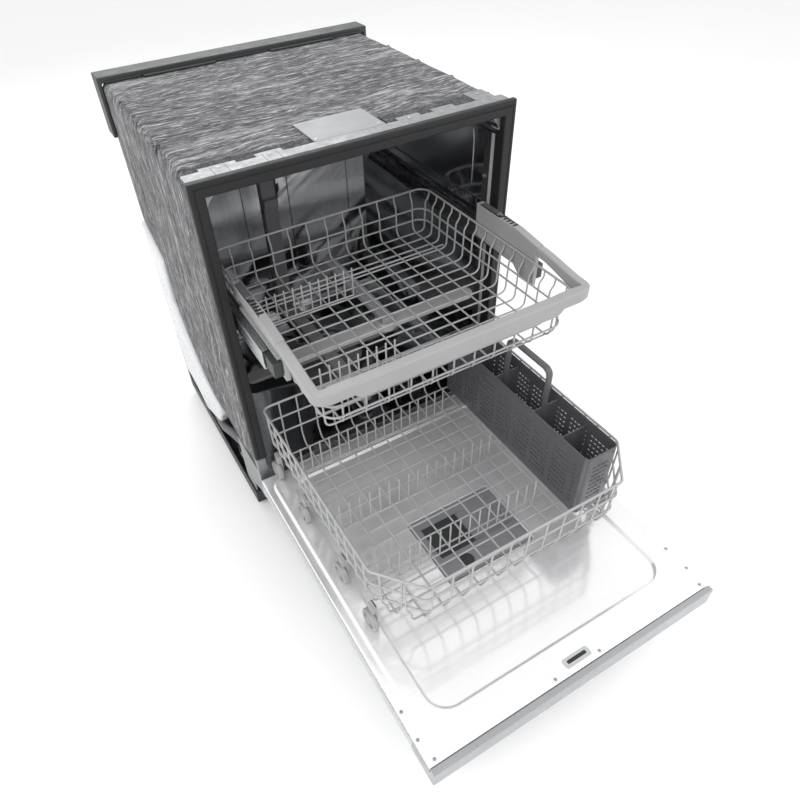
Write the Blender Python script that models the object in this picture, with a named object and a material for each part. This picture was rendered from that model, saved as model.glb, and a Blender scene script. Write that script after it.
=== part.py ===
"""Built-in dishwasher with its door open and both racks pulled out.

The machine faces -Y and stands on Z = 0. The origin is the centre of the footprint of this open pose.
Depths are given from the front plane of the cabinet, FRONT, with positive values towards the back.
"""
from math import cos, pi, sin

import bmesh
import bpy
from mathutils import Vector

# ---------------------------------------------------------------- driving dimensions, metres
WIDTH = 0.603            # rear channel and toe corners, the widest pieces
HEIGHT = 0.854           # floor to the top of the rear channel
BODY_DEPTH = 0.584       # front plane to the back of the machine
DOOR_REACH = 0.680       # front plane to the tip of the open door
DOOR_Z = 0.200           # top of the open door's liner, where the lower rack rolls
DOOR_THICKNESS = 0.048
TUB_WALL = 0.0015
TUB_CORNER = 0.045       # upper corners of the tub
TUB_FOOT = 0.006         # lower corners, tight enough for the wheels to roll beside the wall
BLANKET = 0.0145         # thickness of the felt on the sides
LOWER_DEPTH = 0.505      # lower rack, front to back
LOWER_WALL = 0.135       # height of the lower rack's sides
UPPER_OUT = 0.304        # how far the upper rack's front stands out
UPPER_DEPTH = 0.480      # upper rack's wires, front to back
UPPER_Z = 0.530          # underside of the upper rack
UPPER_WALL = 0.092
UPPER_TRAVEL = 0.298
WHEEL_RADIUS = 0.0215
WIRE = 0.004
BASKET_WIDTH = 0.074
BASKET_HEIGHT = 0.150
TINE = 0.003             # a tine, front to back
TINE_LIFT = 0.0027       # axis of a folding row above the wires it lies on
GAP = 0.0005             # between pieces that touch

# ---------------------------------------------------------------- sizes worked out from them
FRONT = (DOOR_REACH - BODY_DEPTH) / 2
HALF = WIDTH / 2
BODY = HALF - 0.003                      # half width of door and gasket
FLANGE = BODY - 0.004
FELT = BODY - 0.006                      # outer face of the blanket
TUB_OUT = FELT - BLANKET - GAP
TUB = TUB_OUT - TUB_WALL                 # half width inside the tub
TUB_FLOOR = DOOR_Z - 0.001
TUB_TOP = HEIGHT - 0.026
TUB_BACK = BODY_DEPTH - 0.044
PAN_BACK = BODY_DEPTH - 0.006
HINGE_Y, HINGE_Z = -0.020, DOOR_Z - 0.035
DOOR_UNDER = DOOR_Z - DOOR_THICKNESS
LOWER_HALF = TUB - 0.014
LOWER_Z = DOOR_Z + 2 * WHEEL_RADIUS + 0.002
UPPER_HALF = TUB - 0.033
RIM_OUT = TUB - 0.0165
HUB_Y = TUB_BACK / 2                     # centre of the tub, where the lower and top arms turn
UPPER_BACK = UPPER_DEPTH - UPPER_OUT + 0.0205
UPPER_FRONT = UPPER_BACK - UPPER_DEPTH
RAIL_Z = UPPER_Z + 0.065


# ---------------------------------------------------------------- helpers
def material(name, colour, roughness, metallic=0.0):
    surface = bpy.data.materials.new(name)
    surface.use_nodes = True
    shader = surface.node_tree.nodes["Principled BSDF"]
    shader.inputs["Base Color"].default_value = (*colour, 1.0)
    shader.inputs["Roughness"].default_value = roughness
    shader.inputs["Metallic"].default_value = metallic
    return surface


def to_object(mesh):
    """A closed bmesh as an object, with its faces pointing out."""
    bmesh.ops.recalc_face_normals(mesh, faces=mesh.faces)
    data = bpy.data.meshes.new("solid")
    mesh.to_mesh(data)
    mesh.free()
    thing = bpy.data.objects.new("solid", data)
    bpy.context.scene.collection.objects.link(thing)
    return thing


def prism(outline, axis, low, high):
    """An outline pushed along x, y or z: its points are (y, z), (x, z) or (x, y)."""
    place = {"x": lambda a, b, c: (c, a + FRONT, b),
             "y": lambda a, b, c: (a, c + FRONT, b),
             "z": lambda a, b, c: (a, b + FRONT, c)}[axis]
    mesh = bmesh.new()
    near = [mesh.verts.new(place(a, b, low)) for a, b in outline]
    far = [mesh.verts.new(place(a, b, high)) for a, b in outline]
    mesh.faces.new(near)
    mesh.faces.new(far)
    for i in range(len(outline)):
        j = (i + 1) % len(outline)
        mesh.faces.new([near[i], near[j], far[j], far[i]])
    return to_object(mesh)


def block(x0, x1, y0, y1, z0, z1):
    return prism([(x0, y0), (x1, y0), (x1, y1), (x0, y1)], "z", z0, z1)


def blocks(boxes):
    """Several blocks that stay apart, as one tool."""
    return join_loose([block(*box) for box in boxes])


def join_loose(things):
    mesh = bmesh.new()
    for thing in things:
        mesh.from_mesh(thing.data)
        bpy.data.objects.remove(thing)
    return to_object(mesh)


def turned(profile, centre, axis="z", sides=20, ring=False):
    """A profile of (radius, height) points turned about an axis through centre; ring closes it on itself."""
    turn = {"z": lambda r, h, t: (r * cos(t), r * sin(t), h),
            "y": lambda r, h, t: (r * cos(t), h, r * sin(t)),
            "x": lambda r, h, t: (h, r * cos(t), r * sin(t))}[axis]
    origin = Vector((centre[0], centre[1] + FRONT, centre[2]))
    mesh = bmesh.new()
    loops = []
    for radius, height in profile:
        count = sides if radius > 0 else 1
        loops.append([mesh.verts.new(origin + Vector(turn(radius, height, 2 * pi * k / sides)))
                      for k in range(count)])
    pairs = list(zip(loops, loops[1:])) + ([(loops[-1], loops[0])] if ring else [])
    for a, b in pairs:
        for k in range(sides):
            corners = [a[k % len(a)], a[(k + 1) % len(a)], b[(k + 1) % len(b)], b[k % len(b)]]
            corners = [v for i, v in enumerate(corners) if v not in corners[:i]]
            if len(corners) > 2:
                mesh.faces.new(corners)
    return to_object(mesh)


def rounded(x0, x1, y0, y1, radius, steps=5, foot=None):
    """A rectangle with round corners, as outline points; foot is the radius of the two corners at y0."""
    low = radius if foot is None else foot
    corners = ((x1 - radius, y1 - radius, radius), (x0 + radius, y1 - radius, radius),
               (x0 + low, y0 + low, low), (x1 - low, y0 + low, low))
    points = []
    for start, (cx, cy, reach) in enumerate(corners):
        for k in range(steps + 1):
            angle = (start + k / steps) * pi / 2
            points.append((cx + reach * cos(angle), cy + reach * sin(angle)))
    return points


def bool_with(target, tool, operation):
    modifier = target.modifiers.new("shape", "BOOLEAN")
    modifier.operation = operation
    modifier.object = tool
    bpy.context.view_layer.update()
    shaped = target.evaluated_get(bpy.context.evaluated_depsgraph_get())
    target.data = bpy.data.meshes.new_from_object(shaped)
    target.modifiers.clear()
    bpy.data.objects.remove(tool)
    return target


def cut(target, *tools):
    for tool in tools:
        bool_with(target, tool, "DIFFERENCE")
    return target


def fuse(target, *tools):
    for tool in tools:
        bool_with(target, tool, "UNION")
    return target


def lattice(u_count, v_count, is_solid, point, closed=False):
    """A plate of u_count by v_count cells, with a hole wherever is_solid says no."""
    mesh = bmesh.new()
    corners = {}

    def corner(i, j, side):
        key = (i % u_count if closed else i, j, side)
        if key not in corners:
            corners[key] = mesh.verts.new(point(*key))
        return corners[key]

    def filled(i, j):
        i = i % u_count if closed else i
        return 0 <= i < u_count and 0 <= j < v_count and is_solid(i, j)

    for i in range(u_count):
        for j in range(v_count):
            if not is_solid(i, j):
                continue
            for side in (0, 1):
                mesh.faces.new([corner(i, j, side), corner(i + 1, j, side),
                                corner(i + 1, j + 1, side), corner(i, j + 1, side)])
            edges = {(-1, 0): ((i, j), (i, j + 1)), (1, 0): ((i + 1, j), (i + 1, j + 1)),
                     (0, -1): ((i, j), (i + 1, j)), (0, 1): ((i, j + 1), (i + 1, j + 1))}
            for (di, dj), (a, b) in edges.items():
                if not filled(i + di, j + dj):
                    mesh.faces.new([corner(*a, 0), corner(*b, 0), corner(*b, 1), corner(*a, 1)])
    return to_object(mesh)


def spaced(low, high, count):
    """Centres of count bars whose outer faces lie on low and high."""
    first, last = low + WIRE / 2, high - WIRE / 2
    return [first + (last - first) * k / (count - 1) for k in range(count)]


def wire_floor(xs, ys, z):
    """A flat grid of square wires, along the given centre lines."""
    u = [x + side * WIRE / 2 for x in xs for side in (-1, 1)]
    v = [y + side * WIRE / 2 for y in ys for side in (-1, 1)]
    return lattice(len(u) - 1, len(v) - 1, lambda i, j: i % 2 == 0 or j % 2 == 0,
                   lambda i, j, side: (u[i], v[j] + FRONT, z + side * WIRE))


def inset_corner(before, here, after, wall):
    """The point wall inside the corner here of a counter-clockwise outline."""
    first = (Vector(here) - Vector(before)).normalized()
    second = (Vector(after) - Vector(here)).normalized()
    inward = Vector((-first.y, first.x)) + Vector((-second.y, second.x))
    return Vector(here) + inward * (wall / (1 + first.dot(second)))


def wire_walls(outline, cells, rails, wall=WIRE):
    """Upright wire walls along an outline: cells openings per side, with rails at the given heights."""
    outer, inner, solid = [], [], []
    for k, start in enumerate(outline):
        end = outline[(k + 1) % len(outline)]
        along = Vector(end) - Vector(start)
        length = along.length
        along.normalize()
        inward = Vector((-along.y, along.x)) * wall
        outer.append(Vector(start))
        inner.append(inset_corner(outline[k - 1], start, end, wall))
        stops = [WIRE * 1.5]
        for m in range(1, cells[k]):
            stops += [length * m / cells[k] - WIRE / 2, length * m / cells[k] + WIRE / 2]
        stops.append(length - WIRE * 1.5)
        for stop in stops:
            outer.append(Vector(start) + along * stop)
            inner.append(outer[-1] + inward)
        solid += [True] + [m % 2 == 1 for m in range(len(stops) - 1)] + [True]
    heights = [z + side * WIRE / 2 for z in rails for side in (-1, 1)]

    def point(i, j, side):
        x, y = (outer, inner)[side][i]
        return x, y + FRONT, heights[j]

    return lattice(len(outer), len(heights) - 1, lambda i, j: solid[i] or j % 2 == 0, point, closed=True)


def comb(xs, y, floor, height):
    """A row of upright tines on one bar along x, with room above floor for the bar to turn."""
    half = WIRE / 2
    low = floor + TINE_LIFT - half
    outline = [(xs[0] - half, low), (xs[-1] + half, low)]
    for x in reversed(xs):
        outline += [(x + half, low + WIRE), (x + half, floor + height),
                    (x - half, floor + height), (x - half, low + WIRE)]
    return prism(outline, "y", y - TINE / 2, y + TINE / 2)


def finish(thing, name, surface, pivot=None):
    """Names a solid, gives it its material and puts its origin at pivot, or at its middle."""
    corners = [Vector(c) for c in thing.bound_box]
    middle = sum(corners, Vector()) / 8
    origin = Vector((pivot[0], pivot[1] + FRONT, pivot[2])) if pivot else middle
    for vertex in thing.data.vertices:
        vertex.co -= origin
    thing.location = origin
    thing.name = thing.data.name = name
    thing.data.materials.clear()
    thing.data.materials.append(surface)
    return thing


def mirrored(build):
    """Builds the left piece with side = -1 and the right one with side = 1."""
    for side, word in ((-1, "left"), (1, "right")):
        build(side, word)


def span(side, inner, outer):
    """The x limits of a piece between two distances from the middle, on one side."""
    return (-outer, -inner) if side < 0 else (inner, outer)


for old in list(bpy.data.objects):
    bpy.data.objects.remove(old)

STEEL = material("stainless_steel", (0.62, 0.63, 0.64), 0.28, 1.0)
TUB_STEEL = material("tub_steel", (0.36, 0.37, 0.38), 0.22, 1.0)
ZINC = material("zinc_plate", (0.60, 0.62, 0.63), 0.45, 0.8)
CHARCOAL = material("charcoal_plastic", (0.030, 0.031, 0.033), 0.55)
BLACK = material("black_plastic", (0.020, 0.020, 0.021), 0.60)
DARK = material("dark_grey_plastic", (0.070, 0.074, 0.076), 0.50)
FELT_GREY = material("grey_felt", (0.16, 0.16, 0.17), 0.95)
WHITE = material("white_plastic", (0.66, 0.67, 0.68), 0.40)
GREY = material("grey_plastic", (0.31, 0.31, 0.33), 0.45)
LIGHT_GREY = material("coated_wire", (0.47, 0.47, 0.49), 0.40)
BASKET_GREY = material("basket_plastic", (0.10, 0.10, 0.11), 0.50)
RUBBER = material("hose_rubber", (0.17, 0.17, 0.18), 0.65)
CONSOLE_GREY = material("console_grey", (0.40, 0.41, 0.42), 0.35, 0.6)


# ---------------------------------------------------------------- cabinet
SUMP_HOLE = 0.100
SUMP_RADIUS = 0.110
SUMP_FLOOR = TUB_FLOOR - 0.051


def tub():
    outside = rounded(-TUB_OUT, TUB_OUT, TUB_FLOOR - TUB_WALL, TUB_TOP + TUB_WALL, TUB_CORNER + TUB_WALL,
                      foot=TUB_FOOT + TUB_WALL)
    inside = rounded(-TUB, TUB, TUB_FLOOR, TUB_TOP, TUB_CORNER, foot=TUB_FOOT)
    shell = prism(outside, "y", 0.003, TUB_BACK + TUB_WALL)
    cut(shell, prism(inside, "y", -0.02, TUB_BACK),
        turned([(0, -0.02), (SUMP_HOLE, -0.02), (SUMP_HOLE, 0.02), (0, 0.02)], (0, HUB_Y, TUB_FLOOR), sides=28))
    finish(shell, "tub", TUB_STEEL)


FLANGE_TOP = HEIGHT - 0.009
LABEL = (-0.073, 0.058, 0.118)           # left, right and rear edge of the blank data plate


def front_flange():
    """Zinc-plated face ring, with a return round its edge, tabs on top and the two hinge plates."""
    plate = 0.0025
    low = DOOR_Z - 0.020
    ring = prism([(-FLANGE, low), (FLANGE, low), (FLANGE, FLANGE_TOP), (-FLANGE, FLANGE_TOP)], "y", 0, plate)
    cut(ring, prism(rounded(-TUB, TUB, TUB_FLOOR, TUB_TOP, TUB_CORNER, foot=TUB_FOOT), "y", -0.01, 0.01))
    fuse(ring, block(-FLANGE, FLANGE, 0.001, 0.030, FLANGE_TOP - plate, FLANGE_TOP),
         block(LABEL[0], LABEL[1], 0.020, LABEL[2], FLANGE_TOP - 0.002, FLANGE_TOP - 0.0005))
    for x, width, rear in ((-0.235, 0.060, 0.040), (-0.150, 0.045, 0.043), (0.105, 0.045, 0.043),
                           (0.175, 0.045, 0.043), (0.262, 0.040, 0.074)):
        fuse(ring, block(x - width / 2, x + width / 2, 0.025, rear, FLANGE_TOP - plate, FLANGE_TOP - 0.0002))
    for side in (-1, 1):
        x0, x1 = span(side, FLANGE - plate, FLANGE)
        fuse(ring, block(x0, x1, 0.001, 0.016, low + 0.004, FLANGE_TOP - 0.001))
        x0, x1 = span(side, FLANGE - 0.004, FLANGE - 0.001)
        leg = [(0.0005, 0.128), (0.084, 0.090), (0.084, 0.0215), (0.140, 0.0215), (0.140, DOOR_Z - 0.006),
               (0.0005, DOOR_Z - 0.006)]
        fuse(ring, prism(leg, "x", x0, x1))
    finish(ring, "front_flange", ZINC)


GASKET_END = DOOR_Z + 0.057
GASKET_TOP = HEIGHT - 0.006


def tub_gasket():
    """Charcoal trim round the sides and top of the tub's mouth, wrapping the flange's edge."""
    def arch(outer, inner, top, inner_top):
        return [(-outer, GASKET_END), (-inner, GASKET_END), (-inner, inner_top), (inner, inner_top),
                (inner, GASKET_END), (outer, GASKET_END), (outer, top), (-outer, top)]
    trim = prism(arch(BODY, TUB - 0.002, GASKET_TOP, TUB_TOP - 0.005), "y", -0.014, -GAP)
    fuse(trim, prism(arch(BODY, FLANGE + 0.001, GASKET_TOP, FLANGE_TOP + GAP), "y", -0.002, 0.012))
    finish(trim, "tub_gasket", CHARCOAL)


FELT_TOP = FLANGE_TOP - 0.0035
FELT_FRONT = 0.018
FELT_LOW = DOOR_Z + 0.006
FELT_EDGE = [(-0.010, FELT_LOW + 0.001), (0.238, FELT_LOW + 0.003), (0.350, 0.230), (0.452, 0.376),
             (0.434, 0.500), (0.580, 0.562)]


def insulation_blanket():
    """Felt over the top, sides and back, cut away on the left where the water tank sits."""
    top = FELT_TOP
    coat = prism(rounded(-FELT, FELT, FELT_LOW, top, 0.012, 3), "y", FELT_FRONT, TUB_BACK + 0.012)
    hollow = rounded(-TUB_OUT - GAP, TUB_OUT + GAP, FELT_LOW - 0.2, TUB_TOP + TUB_WALL + GAP, TUB_CORNER, 5)
    cut(coat, prism(hollow, "y", -0.01, TUB_BACK + TUB_WALL + GAP),
        prism(FELT_EDGE + [(0.58, 0.10), (-0.01, 0.10)], "x", -HALF - 0.02, -TUB_OUT + 0.002),
        block(-1, 1, -0.1, 1, 0, FELT_LOW + 0.0005))
    finish(coat, "insulation_blanket", FELT_GREY)


def rear_channel():
    """Dark cap along the top back edge, wrapping down both sides."""
    bottom = HEIGHT - 0.116
    inner = FELT + 0.001
    outline = [(-HALF, bottom), (-inner, bottom), (-inner, FELT_TOP + GAP), (inner, FELT_TOP + GAP),
               (inner, bottom), (HALF, bottom), (HALF, HEIGHT), (-HALF, HEIGHT)]
    cap = prism(outline, "y", TUB_BACK - 0.004, BODY_DEPTH)
    finish(cap, "rear_channel", DARK)


PAN_FRONT = 0.080
PAN_HALF = HALF - 0.004
PAN_FLOOR = 0.018
FOOT_X, FOOT_FRONT, FOOT_REAR = PAN_HALF - 0.036, 0.106, BODY_DEPTH - 0.040
SPRING_X, SPRING_Z, SPRING_END = FLANGE - 0.0145, 0.090, 0.200


def base_pan():
    """Shallow drip tray with a high rear wall, posts under the tub and the spring anchors."""
    wall = 0.003
    pan = block(-PAN_HALF, PAN_HALF, PAN_FRONT, PAN_BACK, PAN_FLOOR, 0.200)
    cut(pan, block(-PAN_HALF + wall, PAN_HALF - wall, PAN_FRONT + wall, PAN_BACK - wall, PAN_FLOOR + wall, 0.3),
        block(-1, 1, 0, PAN_BACK - 0.021, 0.056, 0.3))
    for side in (-1, 1):
        x0, x1 = span(side, 0.170, 0.210)
        fuse(pan, block(x0, x1, PAN_BACK - 0.080, PAN_BACK - 0.050, PAN_FLOOR + 0.001, TUB_FLOOR - TUB_WALL - GAP))
        x0, x1 = span(side, SPRING_X - 0.006, SPRING_X + 0.006)
        fuse(pan, block(x0, x1, SPRING_END + GAP, SPRING_END + 0.007, PAN_FLOOR + 0.001, SPRING_Z + 0.010))
    holes = [turned([(0, -0.02), (0.006, -0.02), (0.006, 0.02), (0, 0.02)], (side * FOOT_X, y, PAN_FLOOR), sides=12)
             for side in (-1, 1) for y in (FOOT_FRONT, FOOT_REAR)]
    cut(pan, join_loose(holes))
    finish(pan, "base_pan", BLACK)


def toe_panel():
    panel = block(-PAN_HALF + 0.036, PAN_HALF - 0.036, PAN_FRONT - 0.0035, PAN_FRONT - GAP, 0.022, 0.100)
    fuse(panel, block(-0.200, 0.200, PAN_FRONT - 0.0055, PAN_FRONT - 0.003, 0.040, 0.082))
    finish(panel, "toe_panel", BLACK)


def levelling_feet():
    profile = [(0, 0), (0.018, 0), (0.018, 0.006), (0.010, 0.009), (0.010, PAN_FLOOR - GAP),
               (0.005, PAN_FLOOR - GAP), (0.005, 0.046), (0, 0.046)]
    for row, y in (("front", FOOT_FRONT), ("rear", FOOT_REAR)):
        for side, word in ((-1, "left"), (1, "right")):
            foot = turned(profile, (side * FOOT_X, y, 0), sides=12)
            finish(foot, f"foot_{row}_{word}", DARK, (side * FOOT_X, y, 0))


def side_tank():
    """Moulded water tank on the left side, below the felt's slanted edge."""
    upper = [(y + 0.002, z - 0.003) for y, z in FELT_EDGE[1:-1]]
    rear = PAN_BACK - 0.022
    lower = [(0.236, 0.182), (0.272, 0.132), (0.400, 0.072), (0.480, 0.100), (rear, 0.100), (rear, 0.546)]
    tank = prism(lower + upper[::-1], "x", -HALF + 0.001, -TUB_OUT - GAP)
    finish(tank, "side_tank", WHITE)


def sump():
    """Bowl under the tub with the post that carries the lower spray arm."""
    top = TUB_FLOOR - TUB_WALL - GAP
    profile = [(0, SUMP_FLOOR), (SUMP_RADIUS, SUMP_FLOOR), (SUMP_RADIUS, top - 0.004), (0.118, top - 0.004),
               (0.118, top), (SUMP_RADIUS - 0.003, top), (SUMP_RADIUS - 0.003, SUMP_FLOOR + 0.003),
               (0.014, SUMP_FLOOR + 0.003), (0.014, TUB_FLOOR + 0.007), (0, TUB_FLOOR + 0.007)]
    finish(turned(profile, (0, HUB_Y, 0), sides=28), "sump", GREY)


def pumps():
    top = SUMP_FLOOR - GAP
    motor = [(0, top), (0.034, top), (0.034, top - 0.012), (0.046, top - 0.014), (0.046, 0.062),
             (0.020, 0.056), (0, 0.056)]
    finish(turned(motor, (0, HUB_Y, 0), sides=20), "circulation_motor", DARK)
    drain = [(0, -0.176), (0.012, -0.176), (0.012, -0.166), (0.024, -0.164), (0.024, -0.118), (0.016, -0.1105),
             (0, -0.1105)]
    finish(turned(drain, (0, HUB_Y, PUMP_Z), axis="x", sides=16), "drain_pump", BLACK)


PUMP_Z = SUMP_FLOOR + 0.018
HOSE_RADIUS = 0.010
HOSE_ROUTE = [(-0.1766, 0.270, 0.166), (-0.196, 0.266, 0.166), (-0.222, 0.232, 0.166), (-0.236, 0.186, 0.166),
              (-0.246, 0.142, 0.164), (-0.262, 0.118, 0.160), (-0.277, 0.132, 0.156), (-0.284, 0.170, 0.150),
              (-0.287, 0.214, 0.134), (-0.288, 0.262, 0.106), (-0.288, 0.296, 0.086), (-0.286, 0.332, 0.070),
              (-0.2835, 0.370, 0.056), (-0.2830, 0.420, 0.046), (-0.2830, 0.464, 0.046), (-0.2840, 0.500, 0.056),
              (-0.2885, 0.518, 0.076), (-0.2895, 0.520, 0.0994)]


def smooth(points, steps):
    """Points of a Catmull-Rom curve through the given ones."""
    padded = [points[0], *points, points[-1]]
    curve = []
    for a, b, c, d in zip(padded, padded[1:], padded[2:], padded[3:]):
        a, b, c, d = Vector(a), Vector(b), Vector(c), Vector(d)
        for k in range(steps):
            t = k / steps
            curve.append(0.5 * (2 * b + (c - a) * t + (2 * a - 5 * b + 4 * c - d) * t * t
                                + (3 * b - a - 3 * c + d) * t ** 3))
    return curve + [Vector(points[-1])]


def drain_hose():
    """Hose from the drain pump round the left side to the foot of the tank, held all the way."""
    curve = bpy.data.curves.new("drain_hose", "CURVE")
    curve.dimensions = "3D"
    curve.bevel_depth = HOSE_RADIUS
    curve.bevel_resolution = 2
    curve.use_fill_caps = True
    line = curve.splines.new("POLY")
    route = smooth(HOSE_ROUTE, 2)
    line.points.add(len(route) - 1)
    for point, place in zip(line.points, route):
        point.co = (place.x, place.y + FRONT, place.z, 1)
    hose = bpy.data.objects.new("drain_hose", curve)
    bpy.context.scene.collection.objects.link(hose)
    curve.materials.append(RUBBER)


DUCT_FRONT = TUB_BACK - 0.028


def spray_duct():
    """Flat water duct from the sump, up the back wall and along the ceiling to the top arm."""
    back, low, top = TUB_BACK - GAP, TUB_FLOOR + GAP, TUB_TOP - GAP
    port_z = UPPER_Z - 0.007
    outline = [(HUB_Y + 0.104, low), (back, low), (back, top), (HUB_Y - 0.018, top), (HUB_Y - 0.018, top - 0.011),
               (DUCT_FRONT, top - 0.011), (DUCT_FRONT, port_z + 0.012), (DUCT_FRONT - 0.010, port_z + 0.009),
               (DUCT_FRONT - 0.010, port_z - 0.009), (DUCT_FRONT, port_z - 0.012), (DUCT_FRONT, low + 0.006),
               (HUB_Y + 0.104, low + 0.006)]
    finish(prism(outline, "x", -0.018, 0.018), "spray_duct", GREY)


def filter_cylinder():
    at = (0.060, HUB_Y - 0.012)
    low = SUMP_FLOOR + 0.003 + GAP
    profile = [(0, low), (0.026, low), (0.026, TUB_FLOOR - 0.003), (0.031, TUB_FLOOR - 0.003),
               (0.031, TUB_FLOOR + 0.003), (0, TUB_FLOOR + 0.003)]
    body = turned(profile, (*at, 0), sides=16)
    fuse(body, block(at[0] - 0.022, at[0] + 0.022, at[1] - 0.003, at[1] + 0.003, TUB_FLOOR, TUB_FLOOR + 0.012))
    finish(body, "filter_cylinder", GREY, (*at, 0.0))


def spray_arm(name, centre, z, reach, blades, surface, hub_z):
    """Flat blades with round ends on one hub; hub_z gives the hub's lowest and highest point."""
    x, y = centre
    hub = turned([(0, hub_z[0]), (0.020, hub_z[0]), (0.020, hub_z[1]), (0, hub_z[1])], (x, y, 0), sides=16)
    for turn in range(blades):
        angle = pi * turn / blades
        side = Vector((cos(angle), sin(angle)))
        across = Vector((-side.y, side.x))
        outline = []
        for end in (1, -1):
            for k in range(5):
                t = (k - 2) * pi / 4
                bend = side * (reach - 0.015 + 0.015 * cos(t)) + across * 0.017 * sin(t)
                outline.append((x + end * bend.x, y + end * bend.y))
        fuse(hub, prism(outline, "z", z, z + 0.009))
    finish(hub, name, surface, (x, y, z))


def spray_arms():
    spray_arm("lower_spray_arm", (0, HUB_Y), TUB_FLOOR + 0.024, 0.215, 2, GREY,
              (TUB_FLOOR + 0.007 + GAP, TUB_FLOOR + 0.037))
    top = TUB_TOP - 0.011 - 2 * GAP
    spray_arm("top_spray_arm", (0, HUB_Y), top - 0.015, 0.120, 1, GREY, (top - 0.020, top))
    spray_arm("middle_spray_arm", (0, UPPER_HUB), UPPER_Z - 0.027, 0.200, 1, GREY,
              (UPPER_Z - 0.031, UPPER_Z - 0.0135))


def channel(side, web, lip, wall, z_half, y0, y1):
    """A C-channel on its side: its web at distance web from the middle, its lips reaching in to lip."""
    inside = z_half - wall
    outline = [(web, -z_half), (web, z_half), (lip, z_half), (lip, inside), (web - wall, inside),
               (web - wall, -inside), (lip, -inside), (lip, -z_half)]
    return prism([(side * x, RAIL_Z + z) for x, z in outline], "y", y0, y1)


SLIDE_SHIFT = UPPER_TRAVEL / 2
RAIL_FRONT, RAIL_LENGTH = 0.020, TUB_BACK - 0.060
RUNNER_FRONT = UPPER_FRONT + 0.1185


def upper_slides(side, word):
    """Fixed rail on the tub, telescoping middle member and the runner that carries the rack."""
    rail = channel(side, TUB - GAP, TUB - 0.0093, 0.0025, 0.0225, RAIL_FRONT, RAIL_FRONT + RAIL_LENGTH)
    finish(rail, f"tub_rail_{word}", STEEL)
    y0 = RAIL_FRONT - SLIDE_SHIFT
    slide = channel(side, TUB - 0.004, TUB - 0.0158, 0.0025, 0.0185, y0, y0 + RAIL_LENGTH - 0.001)
    finish(slide, f"middle_slide_{word}", STEEL)
    x0, x1 = span(side, TUB - 0.0230, TUB - 0.0075)
    runner = block(x0, x1, RUNNER_FRONT, UPPER_BACK - 0.002, RAIL_Z - 0.0145, RAIL_Z + 0.0145)
    finish(runner, f"upper_runner_{word}", DARK)


# ---------------------------------------------------------------- upper rack
UPPER_HUB = UPPER_BACK - UPPER_DEPTH / 2
RIM_TOP = UPPER_Z + 0.110
BRACKET_FRONT, BRACKET_BACK = RUNNER_FRONT - 0.0045, RUNNER_FRONT + 0.177
LEVER_Y = (BRACKET_BACK - 0.068, BRACKET_BACK - 0.012)


def upper_rack_wires():
    outline = [(-UPPER_HALF, UPPER_FRONT), (UPPER_HALF, UPPER_FRONT), (UPPER_HALF, UPPER_BACK),
               (-UPPER_HALF, UPPER_BACK)]
    rails = (UPPER_Z + WIRE / 2, UPPER_Z + UPPER_WALL * 0.55, UPPER_Z + UPPER_WALL)
    finish(wire_walls(outline, (5, 6, 4, 6), rails), "upper_rack_walls", LIGHT_GREY)
    inset = WIRE + GAP
    xs = spaced(-UPPER_HALF + inset, UPPER_HALF - inset, 7)
    ys = spaced(UPPER_FRONT + inset, UPPER_BACK - inset, 6)
    floor = wire_floor(xs, ys, UPPER_Z)
    half = WIRE / 2
    tines = [(x - half, x + half, ys[1] - TINE / 2, ys[1] + TINE / 2, UPPER_Z + 0.001, UPPER_Z + 0.055)
             for x in (-0.20, -0.165, -0.13, -0.095, -0.06)]
    fuse(floor, blocks(tines))
    finish(floor, "upper_rack_floor", LIGHT_GREY)
    x = [-0.20 + 0.035 * k for k in range(6)]
    pivot = ys[3] + 0.030
    row = comb(x, pivot, UPPER_Z + WIRE, 0.064)
    finish(row, "upper_fold_tines", LIGHT_GREY, (0, pivot, UPPER_Z + WIRE + TINE_LIFT))
    tube = block(-0.012, 0.012, UPPER_HUB - 0.016, UPPER_BACK + 0.004, UPPER_Z - 0.013, UPPER_Z - GAP)
    finish(tube, "upper_feed_tube", GREY)


def upper_rack_rim():
    """Plastic U-shaped rim whose front bar is the handle."""
    inner, front, back = UPPER_HALF + GAP, UPPER_FRONT - GAP, -UPPER_OUT
    arm_end = BRACKET_FRONT - GAP
    bar = block(-RIM_OUT, RIM_OUT, back, front, RIM_TOP - 0.024, RIM_TOP)
    fuse(bar, block(-0.190, 0.190, back + 0.001, front - 0.001, RIM_TOP - 0.034, RIM_TOP - 0.002))
    for side in (-1, 1):
        x0, x1 = span(side, inner, RIM_OUT)
        arm = [(back + 0.001, RIM_TOP - 0.022), (arm_end, RIM_TOP - 0.006), (arm_end, RIM_TOP + 0.012),
               (front - 0.001, RIM_TOP - 0.0002), (back + 0.001, RIM_TOP - 0.0002)]
        fuse(bar, prism(arm, "x", x0, x1))
    finish(bar, "upper_rack_rim", GREY)


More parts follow.
